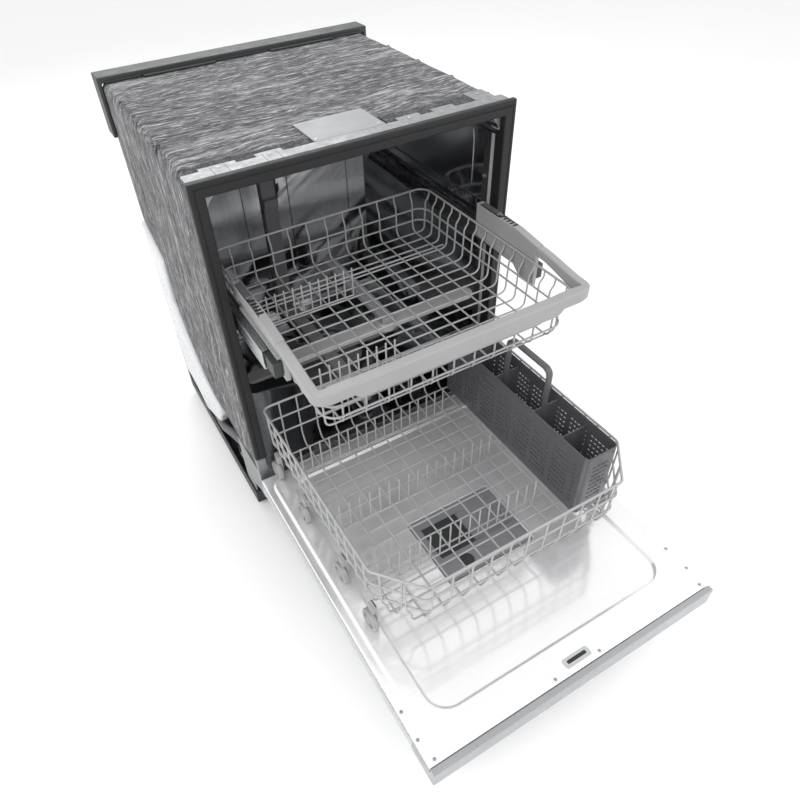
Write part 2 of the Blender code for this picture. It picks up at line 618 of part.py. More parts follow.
def upper_brackets(side, word):
    """Height-adjuster housing on the rack's side, hung on the runner, with its lever."""
    inner = UPPER_HALF + GAP
    top, low = RIM_TOP + 0.021, RAIL_Z - 0.024
    x0, x1 = span(side, inner, TUB - 0.0240)
    plate = [(BRACKET_FRONT, low), (BRACKET_FRONT + 0.038, low), (BRACKET_FRONT + 0.060, RAIL_Z - 0.006),
             (BRACKET_BACK, RAIL_Z - 0.002), (BRACKET_BACK, top), (BRACKET_FRONT + 0.060, top - 0.001),
             (BRACKET_FRONT, top - 0.009)]
    housing = prism(plate, "x", x0, x1)
    x0, x1 = span(side, inner, RIM_OUT)
    cap = [(BRACKET_FRONT, top - 0.025), (BRACKET_BACK, top - 0.022), (BRACKET_BACK, top),
           (BRACKET_FRONT + 0.060, top - 0.001), (BRACKET_FRONT, top - 0.009)]
    fuse(housing, prism(cap, "x", x0, x1))
    x0, x1 = span(side, inner + 0.001, RIM_OUT - 0.001)
    shelf = RAIL_Z + 0.0145 + GAP
    fuse(housing, block(x0, x1, BRACKET_FRONT + 0.010, BRACKET_BACK - 0.010, shelf, shelf + 0.006))
    x0, x1 = span(side, inner + 0.0025, RIM_OUT - 0.0025)
    cut(housing, block(x0 - GAP, x1 + GAP, LEVER_Y[0] - GAP, LEVER_Y[1] + GAP, top - 0.0175, top + 0.02))
    finish(housing, f"upper_bracket_{word}", GREY)
    low, high = top - 0.0155, top + 0.003
    outline = [(LEVER_Y[0], low), (LEVER_Y[1], low), (LEVER_Y[1], high), (LEVER_Y[0] + 0.007, high),
               (LEVER_Y[0], low + 0.0065)]
    lever = prism(outline, "x", x0, x1)
    finish(lever, f"height_lever_{word}", BASKET_GREY, (side * UPPER_HALF, LEVER_Y[0] + 0.005, top - 0.010))


# ---------------------------------------------------------------- door
PANEL = 0.001
LINER_LOW = DOOR_Z - 0.020
CONSOLE_START = -DOOR_REACH + 0.0625
DOOR_BACK = -0.012
DISPENSER = (-0.095, 0.095, -0.425, -0.275)      # left, right, front and back of the dispenser


def door_outer_panel():
    """Steel pan, open towards the inside of the door."""
    pan = block(-BODY, BODY, CONSOLE_START + GAP, DOOR_BACK, DOOR_UNDER, LINER_LOW - GAP)
    cut(pan, block(-BODY + PANEL, BODY - PANEL, CONSOLE_START - 0.01, 0.1, DOOR_UNDER + PANEL, 1))
    finish(pan, "door_outer_panel", STEEL)


def door_inner_liner():
    """Pressed liner: a raised round-cornered field with a shallow recess inside it."""
    front, edge = -DOOR_REACH + 0.012, DOOR_Z - 0.005
    liner = block(-BODY, BODY, front, DOOR_BACK, LINER_LOW, edge)
    field = rounded(-BODY + 0.0155, BODY - 0.0155, front + 0.032, DOOR_BACK - 0.010, 0.035)
    fuse(liner, prism(field, "z", edge - 0.001, DOOR_Z))
    recess = rounded(-LOWER_HALF + 0.014, LOWER_HALF - 0.014, front + 0.055, DOOR_BACK - 0.045, 0.040)
    behind = rounded(-BODY + 0.0155 + PANEL, BODY - 0.0155 - PANEL, front + 0.032 + PANEL,
                     DOOR_BACK - 0.010 - PANEL, 0.035 - PANEL)
    around = rounded(-LOWER_HALF + 0.014 - PANEL, LOWER_HALF - 0.014 + PANEL, front + 0.055 - PANEL,
                     DOOR_BACK - 0.045 + PANEL, 0.040 + PANEL)
    hollow = cut(prism(behind, "z", edge - 0.003, DOOR_Z - PANEL), prism(around, "z", edge - PANEL, DOOR_Z + 0.01))
    cut(liner, block(-BODY + PANEL, BODY - PANEL, front + PANEL, 0.1, 0, edge - PANEL), hollow,
        prism(recess, "z", DOOR_Z - 0.005, DOOR_Z + 0.01),
        block(DISPENSER[0] - GAP, DISPENSER[1] + GAP, DISPENSER[2] - GAP, DISPENSER[3] + GAP, 0.1, 0.3),
        block(-0.020, 0.020, front + 0.018, front + 0.026, 0.1, 0.3))
    finish(liner, "door_inner_liner", STEEL)


BUTTONS = {"power_button": -0.225, "start_button": 0.225}
BUTTON_Y = -DOOR_REACH + 0.030
HANDLE = (0.130, -DOOR_REACH + 0.014, -DOOR_REACH + 0.050, 0.024)     # half width, front, back, depth


def door_console():
    """End cap of the door, with the pocket handle and the button holes in its outer face."""
    low, tip = DOOR_UNDER - 0.004, -DOOR_REACH
    liner = -DOOR_REACH + 0.012 - GAP
    outline = [(tip, low + 0.004), (tip + 0.004, low), (CONSOLE_START, low), (CONSOLE_START, LINER_LOW - GAP),
               (liner, LINER_LOW - GAP), (liner, DOOR_Z - 0.0055), (tip, DOOR_Z - 0.0055)]
    console = prism(outline, "x", -BODY, BODY)
    half, front, back, depth = HANDLE
    cut(console, block(-half, half, front, back, low - 0.01, low + depth))
    for x in BUTTONS.values():
        cut(console, turned([(0, -0.01), (0.0085, -0.01), (0.0085, 0.012), (0, 0.012)],
                            (x, BUTTON_Y, low), sides=16))
    finish(console, "door_console", CONSOLE_GREY)
    for name, x in BUTTONS.items():
        button = turned([(0, -0.0015), (0.007, -0.0015), (0.008, 0), (0.008, 0.010), (0, 0.010)],
                        (x, BUTTON_Y, low), sides=16)
        finish(button, name, DARK, (x, BUTTON_Y, low))


def hinge_arms(side, word):
    """Steel lever from inside the door, past its pivot, down to the spring."""
    x0, x1 = span(side, FLANGE - 0.0115, FLANGE - 0.0065)
    low, high = DOOR_UNDER + PANEL + GAP, DOOR_Z - 0.012 - PANEL - GAP
    outline = [(-0.170, low), (-0.011, low), (0.000, 0.128), (0.020, 0.094), (0.034, 0.082), (0.060, 0.082),
               (0.060, 0.098), (0.040, 0.100), (0.016, 0.138), (0.008, 0.160), (-0.002, 0.174), (-0.014, high),
               (-0.170, high)]
    finish(prism(outline, "x", x0, x1), f"hinge_arm_{word}", ZINC, (side * FLANGE, HINGE_Y, HINGE_Z))
    y0, y1 = 0.060 + GAP, SPRING_END
    coil = turned([(0, y0), (0.009, y0), (0.009, y1), (0, y1)], (side * SPRING_X, 0, SPRING_Z), axis="y", sides=12)
    finish(coil, f"door_spring_{word}", ZINC)


LID = (-0.078, 0.000, -0.372, -0.298)            # the sliding lid's left, right, front and back
CUP = (-0.070, -0.008, -0.366, -0.304)
RINSE_CAP = (-0.040, -0.399)


def dispenser():
    """Detergent cup under a sliding lid, beside the rinse-aid cap."""
    x0, x1, y0, y1 = DISPENSER
    top = DOOR_Z - 0.005
    body = block(x0, x1, y0, y1, DOOR_UNDER + PANEL + GAP, top)
    cut(body, block(LID[0] - GAP, x1 - 0.010, LID[2] - GAP, LID[3] + GAP, top - 0.005, top + 0.01),
        block(CUP[0], CUP[1], CUP[2], CUP[3], top - 0.030, top),
        turned([(0, -0.012), (0.0145, -0.012), (0.0145, 0.02), (0, 0.02)], (*RINSE_CAP, top), sides=16))
    finish(body, "detergent_dispenser", GREY)
    lid = block(LID[0], LID[1], LID[2], LID[3], top - 0.005 + GAP, top - 0.0005)
    fuse(lid, block(LID[1] - 0.012, LID[1] - 0.006, LID[2] + 0.015, LID[3] - 0.015, top - 0.001, top + 0.002))
    finish(lid, "detergent_lid", DARK)
    cap = turned([(0, -0.0115), (0.014, -0.0115), (0.014, 0.001), (0, 0.001)], (*RINSE_CAP, top), sides=16)
    fuse(cap, block(RINSE_CAP[0] - 0.011, RINSE_CAP[0] + 0.011, RINSE_CAP[1] - 0.002, RINSE_CAP[1] + 0.002,
                    top, top + 0.0045))
    finish(cap, "rinse_aid_cap", DARK, (*RINSE_CAP, top))


# ---------------------------------------------------------------- lower rack
WHEELS = (-0.028, -0.158, -0.316, -0.424)
LOWER_TOP = LOWER_Z + LOWER_WALL
CHAMFER = (0.062, 0.075)


def lower_outline(inset=0.0):
    """Plan of the rack, counter-clockwise, with its two front corners cut off."""
    half, front, back = LOWER_HALF, -LOWER_DEPTH, 0.0
    corners = [(-half + CHAMFER[0], front), (half - CHAMFER[0], front), (half, front + CHAMFER[1]), (half, back),
               (-half, back), (-half, front + CHAMFER[1])]
    if not inset:
        return corners
    return [tuple(inset_corner(corners[k - 1], here, corners[(k + 1) % 6], inset))
            for k, here in enumerate(corners)]


WHEEL_IN, WHEEL_OUT = LOWER_HALF - 0.006, LOWER_HALF + 0.005
EAR = 0.0055                             # from the wheel's inner face to the inside of its bracket


def lower_rack_wires():
    rails = (LOWER_Z + WIRE / 2, LOWER_Z + LOWER_WALL * 0.52, LOWER_TOP - WIRE / 2)
    walls = wire_walls(lower_outline(), (4, 1, 5, 4, 5, 1), rails)
    hub_z = DOOR_Z + GAP + WHEEL_RADIUS
    for side in (-1, 1):
        for y in WHEELS:
            x0, x1 = span(side, WHEEL_IN - EAR, WHEEL_IN - GAP)
            ear = block(x0, x1, y - 0.009, y + 0.009, hub_z - 0.009, LOWER_Z + 0.020)
            x0, x1 = span(side, WHEEL_IN - 0.002, LOWER_HALF - 0.001)
            fuse(ear, block(x0, x1, y - 0.0085, y + 0.0085, LOWER_Z + 0.0005, LOWER_Z + 0.0195))
            low, high = WHEEL_IN - 0.003, WHEEL_OUT - 0.001
            stub = [(0, low), (0.004, low), (0.004, high), (0, high)]
            fuse(ear, turned([(r, side * x) for r, x in stub], (0, y, hub_z), axis="x", sides=8))
            fuse(walls, ear)
    finish(walls, "lower_rack_walls", LIGHT_GREY)
    side = WHEEL_IN - EAR - GAP
    xs = spaced(-side, side, 7)
    ys = spaced(-LOWER_DEPTH + WIRE + GAP, -WIRE - GAP, 7)
    floor = wire_floor(xs, ys, LOWER_Z)
    rim = lower_outline(WIRE + GAP)
    bool_with(floor, prism(rim, "z", LOWER_Z - 0.01, LOWER_Z + 0.02), "INTERSECT")
    half = WIRE / 2
    row_x = [-0.225 + 0.042 * k for k in range(9)]
    tines = [(x - half, x + half, y - TINE / 2, y + TINE / 2, LOWER_Z + 0.001, LOWER_Z + 0.075)
             for y in (ys[3], ys[5]) for x in row_x]
    fuse(floor, blocks(tines))
    finish(floor, "lower_rack_floor", LIGHT_GREY)
    pivot = ys[1] + 0.024
    row = comb(row_x, pivot, LOWER_Z + WIRE, 0.074)
    finish(row, "lower_fold_tines", LIGHT_GREY, (0, pivot, LOWER_Z + WIRE + TINE_LIFT))


def lower_wheels(side, word):
    centre_z = DOOR_Z + GAP + WHEEL_RADIUS
    for number, y in enumerate(WHEELS, 1):
        edge = side * WHEEL_OUT
        profile = [(0.0045, side * WHEEL_IN), (0.0195, side * WHEEL_IN), (WHEEL_RADIUS, side * (WHEEL_IN + 0.002)),
                   (WHEEL_RADIUS, edge), (0.0045, edge)]
        wheel = turned(profile, (0, y, centre_z), axis="x", sides=16, ring=True)
        finish(wheel, f"lower_wheel_{word}_{number}", GREY, (edge, y, centre_z))


BASKET = (LOWER_HALF - 0.024 - BASKET_WIDTH, LOWER_HALF - 0.024, -0.450, -0.020)


def cutlery_basket():
    """Open basket along the rack's right side, with an arched handle."""
    x0, x1, y0, y1 = BASKET
    low = LOWER_Z + WIRE + GAP
    top, wall = low + BASKET_HEIGHT, 0.003
    body = block(x0, x1, y0, y1, low, top)
    cut(body, block(x0 + wall, x1 - wall, y0 + wall, y1 - wall, low + wall, top + 0.1))
    middle, half = (y0 + y1) / 2, 0.064
    x = (x0 + x1) / 2
    arch = [(middle - half, low + 0.001), (middle - half, top + 0.068), (middle - half + 0.010, top + 0.078),
            (middle + half - 0.010, top + 0.078), (middle + half, top + 0.068), (middle + half, low + 0.001),
            (middle + half - 0.012, low + 0.001), (middle + half - 0.012, top + 0.064),
            (middle - half + 0.012, top + 0.064), (middle - half + 0.012, low + 0.001)]
    fuse(body, prism(arch, "x", x - 0.007, x + 0.007))
    finish(body, "cutlery_basket", BASKET_GREY)


tub()
front_flange()
tub_gasket()
insulation_blanket()
rear_channel()
base_pan()
toe_panel()
levelling_feet()
side_tank()
sump()
pumps()
drain_hose()
spray_duct()
filter_cylinder()
spray_arms()
mirrored(upper_slides)
upper_rack_wires()
upper_rack_rim()
mirrored(upper_brackets)
door_outer_panel()
door_inner_liner()
door_console()
mirrored(hinge_arms)
dispenser()
lower_rack_wires()
mirrored(lower_wheels)
cutlery_basket()
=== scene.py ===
"""Looks of the built-in dishwasher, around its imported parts.

Metres throughout. Depths are written from the cabinet's front plane, and at() adds FRONT to them.
"""

from math import ceil, cos, pi, radians, sin, tan

import bmesh
import bpy
from mathutils import Matrix, Vector, noise

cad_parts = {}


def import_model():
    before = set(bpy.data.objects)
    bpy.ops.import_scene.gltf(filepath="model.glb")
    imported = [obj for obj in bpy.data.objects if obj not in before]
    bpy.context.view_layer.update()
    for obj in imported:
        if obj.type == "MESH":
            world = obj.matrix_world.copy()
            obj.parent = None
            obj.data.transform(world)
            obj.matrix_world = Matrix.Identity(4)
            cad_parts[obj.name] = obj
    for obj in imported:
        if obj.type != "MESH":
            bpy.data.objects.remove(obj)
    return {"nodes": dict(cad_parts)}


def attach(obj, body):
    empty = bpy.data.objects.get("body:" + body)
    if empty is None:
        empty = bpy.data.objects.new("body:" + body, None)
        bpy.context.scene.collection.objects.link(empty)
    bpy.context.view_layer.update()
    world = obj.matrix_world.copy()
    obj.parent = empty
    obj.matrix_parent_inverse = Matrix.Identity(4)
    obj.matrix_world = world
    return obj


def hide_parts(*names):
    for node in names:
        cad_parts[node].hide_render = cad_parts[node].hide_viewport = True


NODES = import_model()["nodes"]
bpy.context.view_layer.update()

FRONT = 0.048
SIDES = ((-1, "left"), (1, "right"))
X, Y, Z = Vector((1, 0, 0)), Vector((0, 1, 0)), Vector((0, 0, 1))


def at(x, y, z):
    """A point from its depth behind the cabinet's front plane."""
    return Vector((x, y + FRONT, z))


def spaced(low, high, count):
    """Evenly spaced values, both ends included."""
    return [low + (high - low) * k / (count - 1) for k in range(count)]


# ---- camera
CAMERA_PLACE = (-0.491, -0.888, 1.26)
YAW, PITCH, ROLL = radians(28.32), radians(44.24), radians(-2.7)
LENS, SENSOR = 29.49, 36.0
SHIFT = (0.01925, 0.0156)


def link(name, data):
    """A new object for data, in the scene."""
    thing = bpy.data.objects.new(name, data)
    bpy.context.scene.collection.objects.link(thing)
    return thing


def make_camera():
    """Stands the camera where the picture was taken from."""
    forward = Vector((sin(YAW) * cos(PITCH), cos(YAW) * cos(PITCH), -sin(PITCH)))
    right = Vector((cos(YAW), -sin(YAW), 0))
    up = right.cross(forward)
    side = cos(ROLL) * right + sin(ROLL) * up
    top = -sin(ROLL) * right + cos(ROLL) * up
    data = bpy.data.cameras.new("camera")
    data.lens, data.sensor_width = LENS, SENSOR
    data.shift_x, data.shift_y = SHIFT
    data.clip_start, data.clip_end = 0.01, 50
    camera = link("camera", data)
    turn = Matrix((side, top, -forward)).transposed().to_4x4()
    camera.matrix_world = Matrix.Translation(CAMERA_PLACE) @ turn
    bpy.context.scene.camera = camera


# ---- surfaces
class Surface:
    """A Principled material whose colour, roughness and bump come from nodes."""

    def __init__(self, name, colour, roughness, metallic=0.0, **fixed):
        self.material = bpy.data.materials.new(name)
        self.material.use_nodes = True
        self.tree = self.material.node_tree
        self.shader = self.tree.nodes["Principled BSDF"]
        self.normal = None
        fixed = {"Base_Color": (*colour, 1), "Roughness": roughness, "Metallic": metallic, **fixed}
        for key, value in fixed.items():
            self.shader.inputs[key.replace("_", " ")].default_value = value

    def feed(self, socket, value):
        """Links a socket, or sets it when value is a plain one."""
        if isinstance(value, bpy.types.NodeSocket):
            self.tree.links.new(value, socket)
        else:
            socket.default_value = value

    def node(self, kind, **inputs):
        made = self.tree.nodes.new("ShaderNode" + kind)
        for key, value in inputs.items():
            self.feed(made.inputs[key.replace("_", " ")], value)
        return made

    def noise(self, scale, stretch=(1, 1, 1), turn=(0, 0, 0), detail=3.0, warp=0.0):
        """Noise from 0 to 1, drawn out and turned, with its place wavering by warp."""
        place = self.node("TexCoord").outputs["Object"]
        if warp:
            push = self.node("TexNoise", Vector=place, Scale=7.0, Detail=2.0).outputs["Color"]
            spread = self.node("VectorMath", Vector=push)
            spread.operation = "MULTIPLY_ADD"
            spread.inputs[1].default_value = (warp,) * 3
            self.tree.links.new(place, spread.inputs[2])
            place = spread.outputs["Vector"]
        mapped = self.node("Mapping", Vector=place, Rotation=turn, Scale=stretch).outputs["Vector"]
        return self.node("TexNoise", Vector=mapped, Scale=scale, Detail=detail, Roughness=0.6).outputs["Fac"]

    def ramp(self, value, *stops):
        """Colours along value, from (position, colour) stops."""
        made = self.node("ValToRGB", Fac=value)
        points = made.color_ramp.elements
        points[0].position, points[0].color = stops[0][0], (*stops[0][1], 1)
        points[1].position, points[1].color = stops[-1][0], (*stops[-1][1], 1)
        for place, colour in stops[1:-1]:
            points.new(place).color = (*colour, 1)
        return made.outputs["Color"]

    def blend(self, a, b, share, mode="MIX"):
        made = self.tree.nodes.new("ShaderNodeMix")
        made.data_type, made.blend_type = "RGBA", mode
        for socket, value in zip((made.inputs["Factor"], made.inputs[6], made.inputs[7]), (share, a, b)):
            self.feed(socket, value)
        return made.outputs[2]

    def range(self, value, low, high):
        """Noise brought to the range from low to high."""
        return self.node("MapRange", Value=value, From_Min=0.3, From_Max=0.7, To_Min=low, To_Max=high).outputs[0]

    def drive(self, key, value):
        self.tree.links.new(value, self.shader.inputs[key])

    def bump(self, height, distance, strength=1.0):
        """Adds a bump over those before it, and returns the surface."""
        made = self.node("Bump", Height=height, Distance=distance, Strength=strength)
        if self.normal:
            self.tree.links.new(self.normal, made.inputs["Normal"])
        self.normal = made.outputs["Normal"]
        self.tree.links.new(self.normal, self.shader.inputs["Normal"])
        return self


def shade(colour, factor):
    return tuple(min(1.0, c * factor) for c in colour)


def moulded(name, colour, roughness, grain=900.0, depth=0.00012, contrast=0.1, **fixed):
    """Moulded plastic: a fine texture, with slow changes of tone and gloss."""
    made = Surface(name, colour, roughness, **fixed)
    slow = made.noise(9.0, detail=3.0)
    tone = made.ramp(slow, (0.3, shade(colour, 1 - contrast)), (0.7, shade(colour, 1 + contrast)))
    made.drive("Base Color", tone)
    made.drive("Roughness", made.range(made.noise(35.0), roughness - 0.06, roughness + 0.08))
    return made.bump(made.noise(grain, detail=1.0), depth, 0.5)


def brushed(name, colour, low, high, stretch, depth=0.00004, contrast=0.08, metallic=1.0):
    """Rolled or brushed sheet: long fine scratches that change its gloss."""
    made = Surface(name, colour, low, metallic)
    lines = made.noise(40.0, stretch, detail=4.0)
    slow = made.noise(4.0, detail=2.0)
    tone = made.ramp(lines, (0.3, shade(colour, 1 - contrast)), (0.7, shade(colour, 1 + contrast)))
    cloud = made.ramp(slow, (0.3, (0.93,) * 3), (0.7, (1.0,) * 3))
    made.drive("Base Color", made.blend(tone, cloud, 1.0, "MULTIPLY"))
    made.drive("Roughness", made.range(made.noise(30.0, stretch, detail=3.0), low, high))
    return made.bump(lines, depth, 0.35)


def spangled(name, colour, roughness):
    """Zinc plate: soft crystals of slightly different grey."""
    made = Surface(name, colour, roughness, 0.75)
    cells = made.node("TexVoronoi", Vector=made.node("TexCoord").outputs["Object"], Scale=120.0)
    patch = made.ramp(made.node("SeparateColor", Color=cells.outputs["Color"]).outputs[0],
                      (0.0, shade(colour, 0.88)), (1.0, shade(colour, 1.1)))
    made.drive("Base Color", patch)
    made.drive("Roughness", made.range(made.noise(60.0), roughness - 0.1, roughness + 0.12))
    return made.bump(made.noise(14.0), 0.0004, 0.2)


def felted(name, stretch, turn, dark=1.0):
    """Needled fibre felt: pale and dark fibres combed one way, wavering slowly."""
    made = Surface(name, (0.17, 0.17, 0.18), 0.95, Sheen_Weight=0.12, Sheen_Roughness=0.6,
                   Specular_IOR_Level=0.2)
    broad = made.noise(30.0, stretch, turn, 5.0, warp=0.07)
    fine = made.noise(120.0, stretch, turn, 6.0, warp=0.05)
    hair = made.noise(300.0, stretch, turn, 2.0, warp=0.03)
    tone = [tuple(dark * v for v in c) for c in
            ((0.014, 0.014, 0.016), (0.042, 0.042, 0.046), (0.11, 0.11, 0.116), (0.42, 0.42, 0.43))]
    base = made.ramp(broad, *zip((0.38, 0.47, 0.56, 0.66), tone))
    over = made.ramp(fine, *zip((0.4, 0.48, 0.56, 0.64), tone))
    both = made.blend(base, over, 0.62)
    bright = made.ramp(hair, (0.55, (0.0,) * 3), (0.66, (0.34 * dark,) * 3))
    made.drive("Base Color", made.blend(both, bright, 0.8, "ADD"))
    return made.bump(fine, 0.0022, 0.9).bump(hair, 0.0008, 0.7)


STEEL = brushed("bright_steel", (0.91, 0.91, 0.92), 0.12, 0.18, (0.25, 5.0, 1.0), 0.000006, 0.015, 0.62)
PANEL_STEEL = brushed("panel_steel", (0.62, 0.63, 0.64), 0.2, 0.34, (0.2, 12.0, 12.0), 0.00006)
TUB_STEEL = brushed("tub_steel", (0.34, 0.345, 0.355), 0.06, 0.12, (5.0, 5.0, 0.35), 0.000002)
RAIL_STEEL = brushed("rail_steel", (0.55, 0.56, 0.57), 0.18, 0.32, (8.0, 0.4, 8.0))
ZINC = spangled("zinc_plate", (0.29, 0.3, 0.305), 0.42)
SCREW = brushed("screw_steel", (0.42, 0.42, 0.43), 0.22, 0.38, (3.0, 3.0, 3.0))
CHARCOAL = moulded("charcoal_trim", (0.013, 0.013, 0.014), 0.46, 700.0, 0.0001, Specular_IOR_Level=0.3)
BLACK = moulded("black_plastic", (0.016, 0.016, 0.017), 0.48)
RUBBER = moulded("seal_rubber", (0.022, 0.022, 0.023), 0.62, 1200.0)
CHANNEL = moulded("channel_plastic", (0.028, 0.03, 0.031), 0.44, 620.0, 0.0001)
GREY = moulded("grey_plastic", (0.3, 0.3, 0.303), 0.36, 1100.0, 0.0001, 0.05)
PIPE_GREY = moulded("pipe_plastic", (0.2, 0.2, 0.21), 0.4, 1000.0)
BASKET_GREY = moulded("basket_plastic", (0.088, 0.088, 0.095), 0.38, 1100.0, 0.0001, 0.08)
LEVER_GREY = moulded("lever_plastic", (0.075, 0.075, 0.082), 0.34, 1100.0)
WHITE = moulded("tank_plastic", (0.64, 0.65, 0.66), 0.3, 500.0, 0.00014, 0.05,
                Subsurface_Weight=0.12, Subsurface_Radius=(0.01, 0.01, 0.01))
HOSE = moulded("hose_rubber", (0.15, 0.15, 0.16), 0.52, 900.0)
CONSOLE = moulded("console_finish", (0.38, 0.385, 0.395), 0.3, 1600.0, 0.00006, 0.04, Metallic=0.65)
COATED = moulded("coated_wire", (0.34, 0.34, 0.345), 0.3, 1400.0, 0.00006, 0.07, Coat_Weight=0.35)
LABEL = moulded("blank_plate", (0.27, 0.275, 0.28), 0.42, 900.0, 0.00005, 0.03, Metallic=0.35)
FELT_TOP = felted("felt_top", (0.16, 1.5, 1.0), (0, 0, radians(-5)))
FELT_SIDE = felted("felt_side", (1.0, 1.5, 0.16), (radians(16), 0, 0))
FELT_DARK = felted("felt_dark", (1.0, 1.0, 1.0), (0, 0, 0), 0.34)


# ---- building pieces
SHARPEST_MITRE, NEARLY_STRAIGHT, POLE_RADIUS = 0.35, 3.1, 2e-5
# a wire's round tip: (distance from its end, thickness) as shares of the radius
TIP = ((1.0, 1.0), (0.45, 0.84), (0.12, 0.48))


def smooth_by_angle(data, angle):
    data.shade_smooth()
    data.set_sharp_from_angle(angle=radians(angle))


def weigh(thing):
    """Keeps wide flat faces flat beside their rounded edges."""
    weighted = thing.modifiers.new("normals", "WEIGHTED_NORMAL")
    weighted.keep_sharp = True


def place(thing, body, slot, replaced=()):
    """Gives a piece its body and hides the CAD nodes it replaces; the slot is not used."""
    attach(thing, body)
    if replaced:
        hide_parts(*replaced)
    return thing


class Mesh:
    """Collects closed shapes that become one piece."""

    def __init__(self):
        self.verts, self.faces = [], []

    def add(self, verts, faces):
        start = len(self.verts)
        self.verts += verts
        self.faces += [[start + i for i in f] for f in faces]
        return self

    def make(self, name, surface, body, slot, replaced=(), angle=35):
        """The piece, smooth but for edges sharper than angle."""
        data = bpy.data.meshes.new(name)
        data.from_pydata([tuple(v) for v in self.verts], [], self.faces)
        mesh = bmesh.new()
        mesh.from_mesh(data)
        bmesh.ops.recalc_face_normals(mesh, faces=mesh.faces)
        mesh.to_mesh(data)
        mesh.free()
        smooth_by_angle(data, angle)
        data.materials.append(surface.material)
        thing = link(name, data)
        weigh(thing)
        return place(thing, body, slot, replaced)


def bridge(rings, closed=False, caps=True):
    """Faces between loops of equal length, given as (verts, faces)."""
    n = len(rings[0])
    verts = [p for ring in rings for p in ring]
    last = len(rings) - 1
    pairs = [(k, k + 1) for k in range(last)] + ([(last, 0)] if closed else [])
    faces = [[a * n + i, a * n + (i + 1) % n, b * n + (i + 1) % n, b * n + i]
             for a, b in pairs for i in range(n)]
    if caps and not closed:
        faces += [list(range(n))[::-1], [last * n + i for i in range(n)]]
    return verts, faces


def circle(radius, sides, high=None):
    """Corners round a circle, or round an ellipse with a height of its own."""
    high = radius if high is None else high
    return [(radius * cos(2 * pi * i / sides), high * sin(2 * pi * i / sides)) for i in range(sides)]


def sweep(points, section, up=None, closed=False):
    """A tube along points, mitred at bends. section(k) gives its (across, up) outline at point k."""
    rings, turned_up = [], up or Z
    count = len(points)
    for k, point in enumerate(points):
        before = points[k - 1] if closed or k else None
        after = points[(k + 1) % count] if closed or k < count - 1 else None
        into = (point - before).normalized() if before is not None else (after - point).normalized()
        out = (after - point).normalized() if after is not None else into
        along = (into + out).normalized()
        if up is None:
            turned_up = (turned_up - along * turned_up.dot(along)).normalized()
        side = along.cross(turned_up).normalized()
        top = side.cross(along)
        wide = 1 / max(SHARPEST_MITRE, along.dot(into))
        rings.append([point + side * a * wide + top * b for a, b in section(k)])
    return bridge(rings, closed)


def lathe(profile, centre, axis=Z, sides=28):
    """A closed shape from (radius, height) points about an axis through centre."""
    across = axis.orthogonal().normalized()
    other = axis.cross(across)
    turns = [across * a + other * b for a, b in circle(1, sides)]
    return bridge([[centre + axis * h + turn * max(r, POLE_RADIUS) for turn in turns] for r, h in profile])


def rounded_rect(x0, x1, y0, y1, radius, steps=4):
    """Outline of a rectangle with round corners, from its high corner on."""
    points = []
    corners = ((x1 - radius, y1 - radius), (x0 + radius, y1 - radius), (x0 + radius, y0 + radius),
               (x1 - radius, y0 + radius))
    for quarter, (cx, cy) in enumerate(corners):
        for k in range(steps + 1):
            angle = (quarter + k / steps) * pi / 2
            points.append((cx + radius * cos(angle), cy + radius * sin(angle)))
    return points


def soft_box(x0, x1, y0, y1, z0, z1, radius=0.001, corner=0.002):
    """A box with rounded edges, in depths from the front plane."""
    rings, soft = [], radius * 0.3
    for inset, z in ((radius, z0), (soft, z0 + soft), (0, z0 + radius), (0, z1 - radius), (soft, z1 - soft),
                     (radius, z1)):
        outline = rounded_rect(x0 + inset, x1 - inset, y0 + inset, y1 - inset, max(corner - inset, 0.0002), 3)
        rings.append([at(x, y, z) for x, y in outline])
    return bridge(rings)


def side_box(side, near, far, *rest):
    """A soft box on one side of the machine, from near to far of its middle."""
    x0, x1 = sorted((side * near, side * far))
    return soft_box(x0, x1, *rest)


def bent(points, radius, closed=False, steps=5):
    """A line with its corners rounded off."""
    made, count = [], len(points)
    for k, corner in enumerate(points):
        if not closed and k in (0, count - 1):
            made.append(corner)
            continue
        back, on = points[k - 1] - corner, points[(k + 1) % count] - corner
        angle = back.angle(on)
        if angle > NEARLY_STRAIGHT:
            made.append(corner)
            continue
        reach = min(radius / tan(angle / 2), back.length * 0.48, on.length * 0.48)
        start, end = corner + back.normalized() * reach, corner + on.normalized() * reach
        for i in range(steps + 1):
            t = i / steps
            made.append(start * (1 - t) ** 2 + corner * 2 * t * (1 - t) + end * t * t)
    return made


def wire_piece(name, runs, surface, body, slot, replaced=()):
    """Round wires as one piece. A run is (points, radius), or (points, radius, True) for a closed ring."""
    curve = bpy.data.curves.new(name, "CURVE")
    curve.dimensions = "3D"
    curve.bevel_depth = 1.0
    curve.bevel_resolution = 3
    curve.use_fill_caps = True
    for points, radius, *ring in runs:
        line = curve.splines.new("POLY")
        line.use_cyclic_u = bool(ring)
        points = list(points)
        sizes = [radius] * len(points)
        if not ring:
            for end in (0, -1):
                tip, inner = points[end], points[1 if end == 0 else -2]
                step = (tip - inner).normalized() * radius
                extra = [tip - step * back for back, _ in TIP]
                shrink = [radius * thick for _, thick in TIP]
                points = extra[::-1] + points[1:] if end == 0 else points[:-1] + extra
                sizes = shrink[::-1] + sizes[1:] if end == 0 else sizes[:-1] + shrink
        line.points.add(len(points) - 1)
        for spot, where, size in zip(line.points, points, sizes):
            spot.co, spot.radius = (*where, 1), size
    curve.materials.append(surface.material)
    return place(link(name, curve), body, slot, replaced)


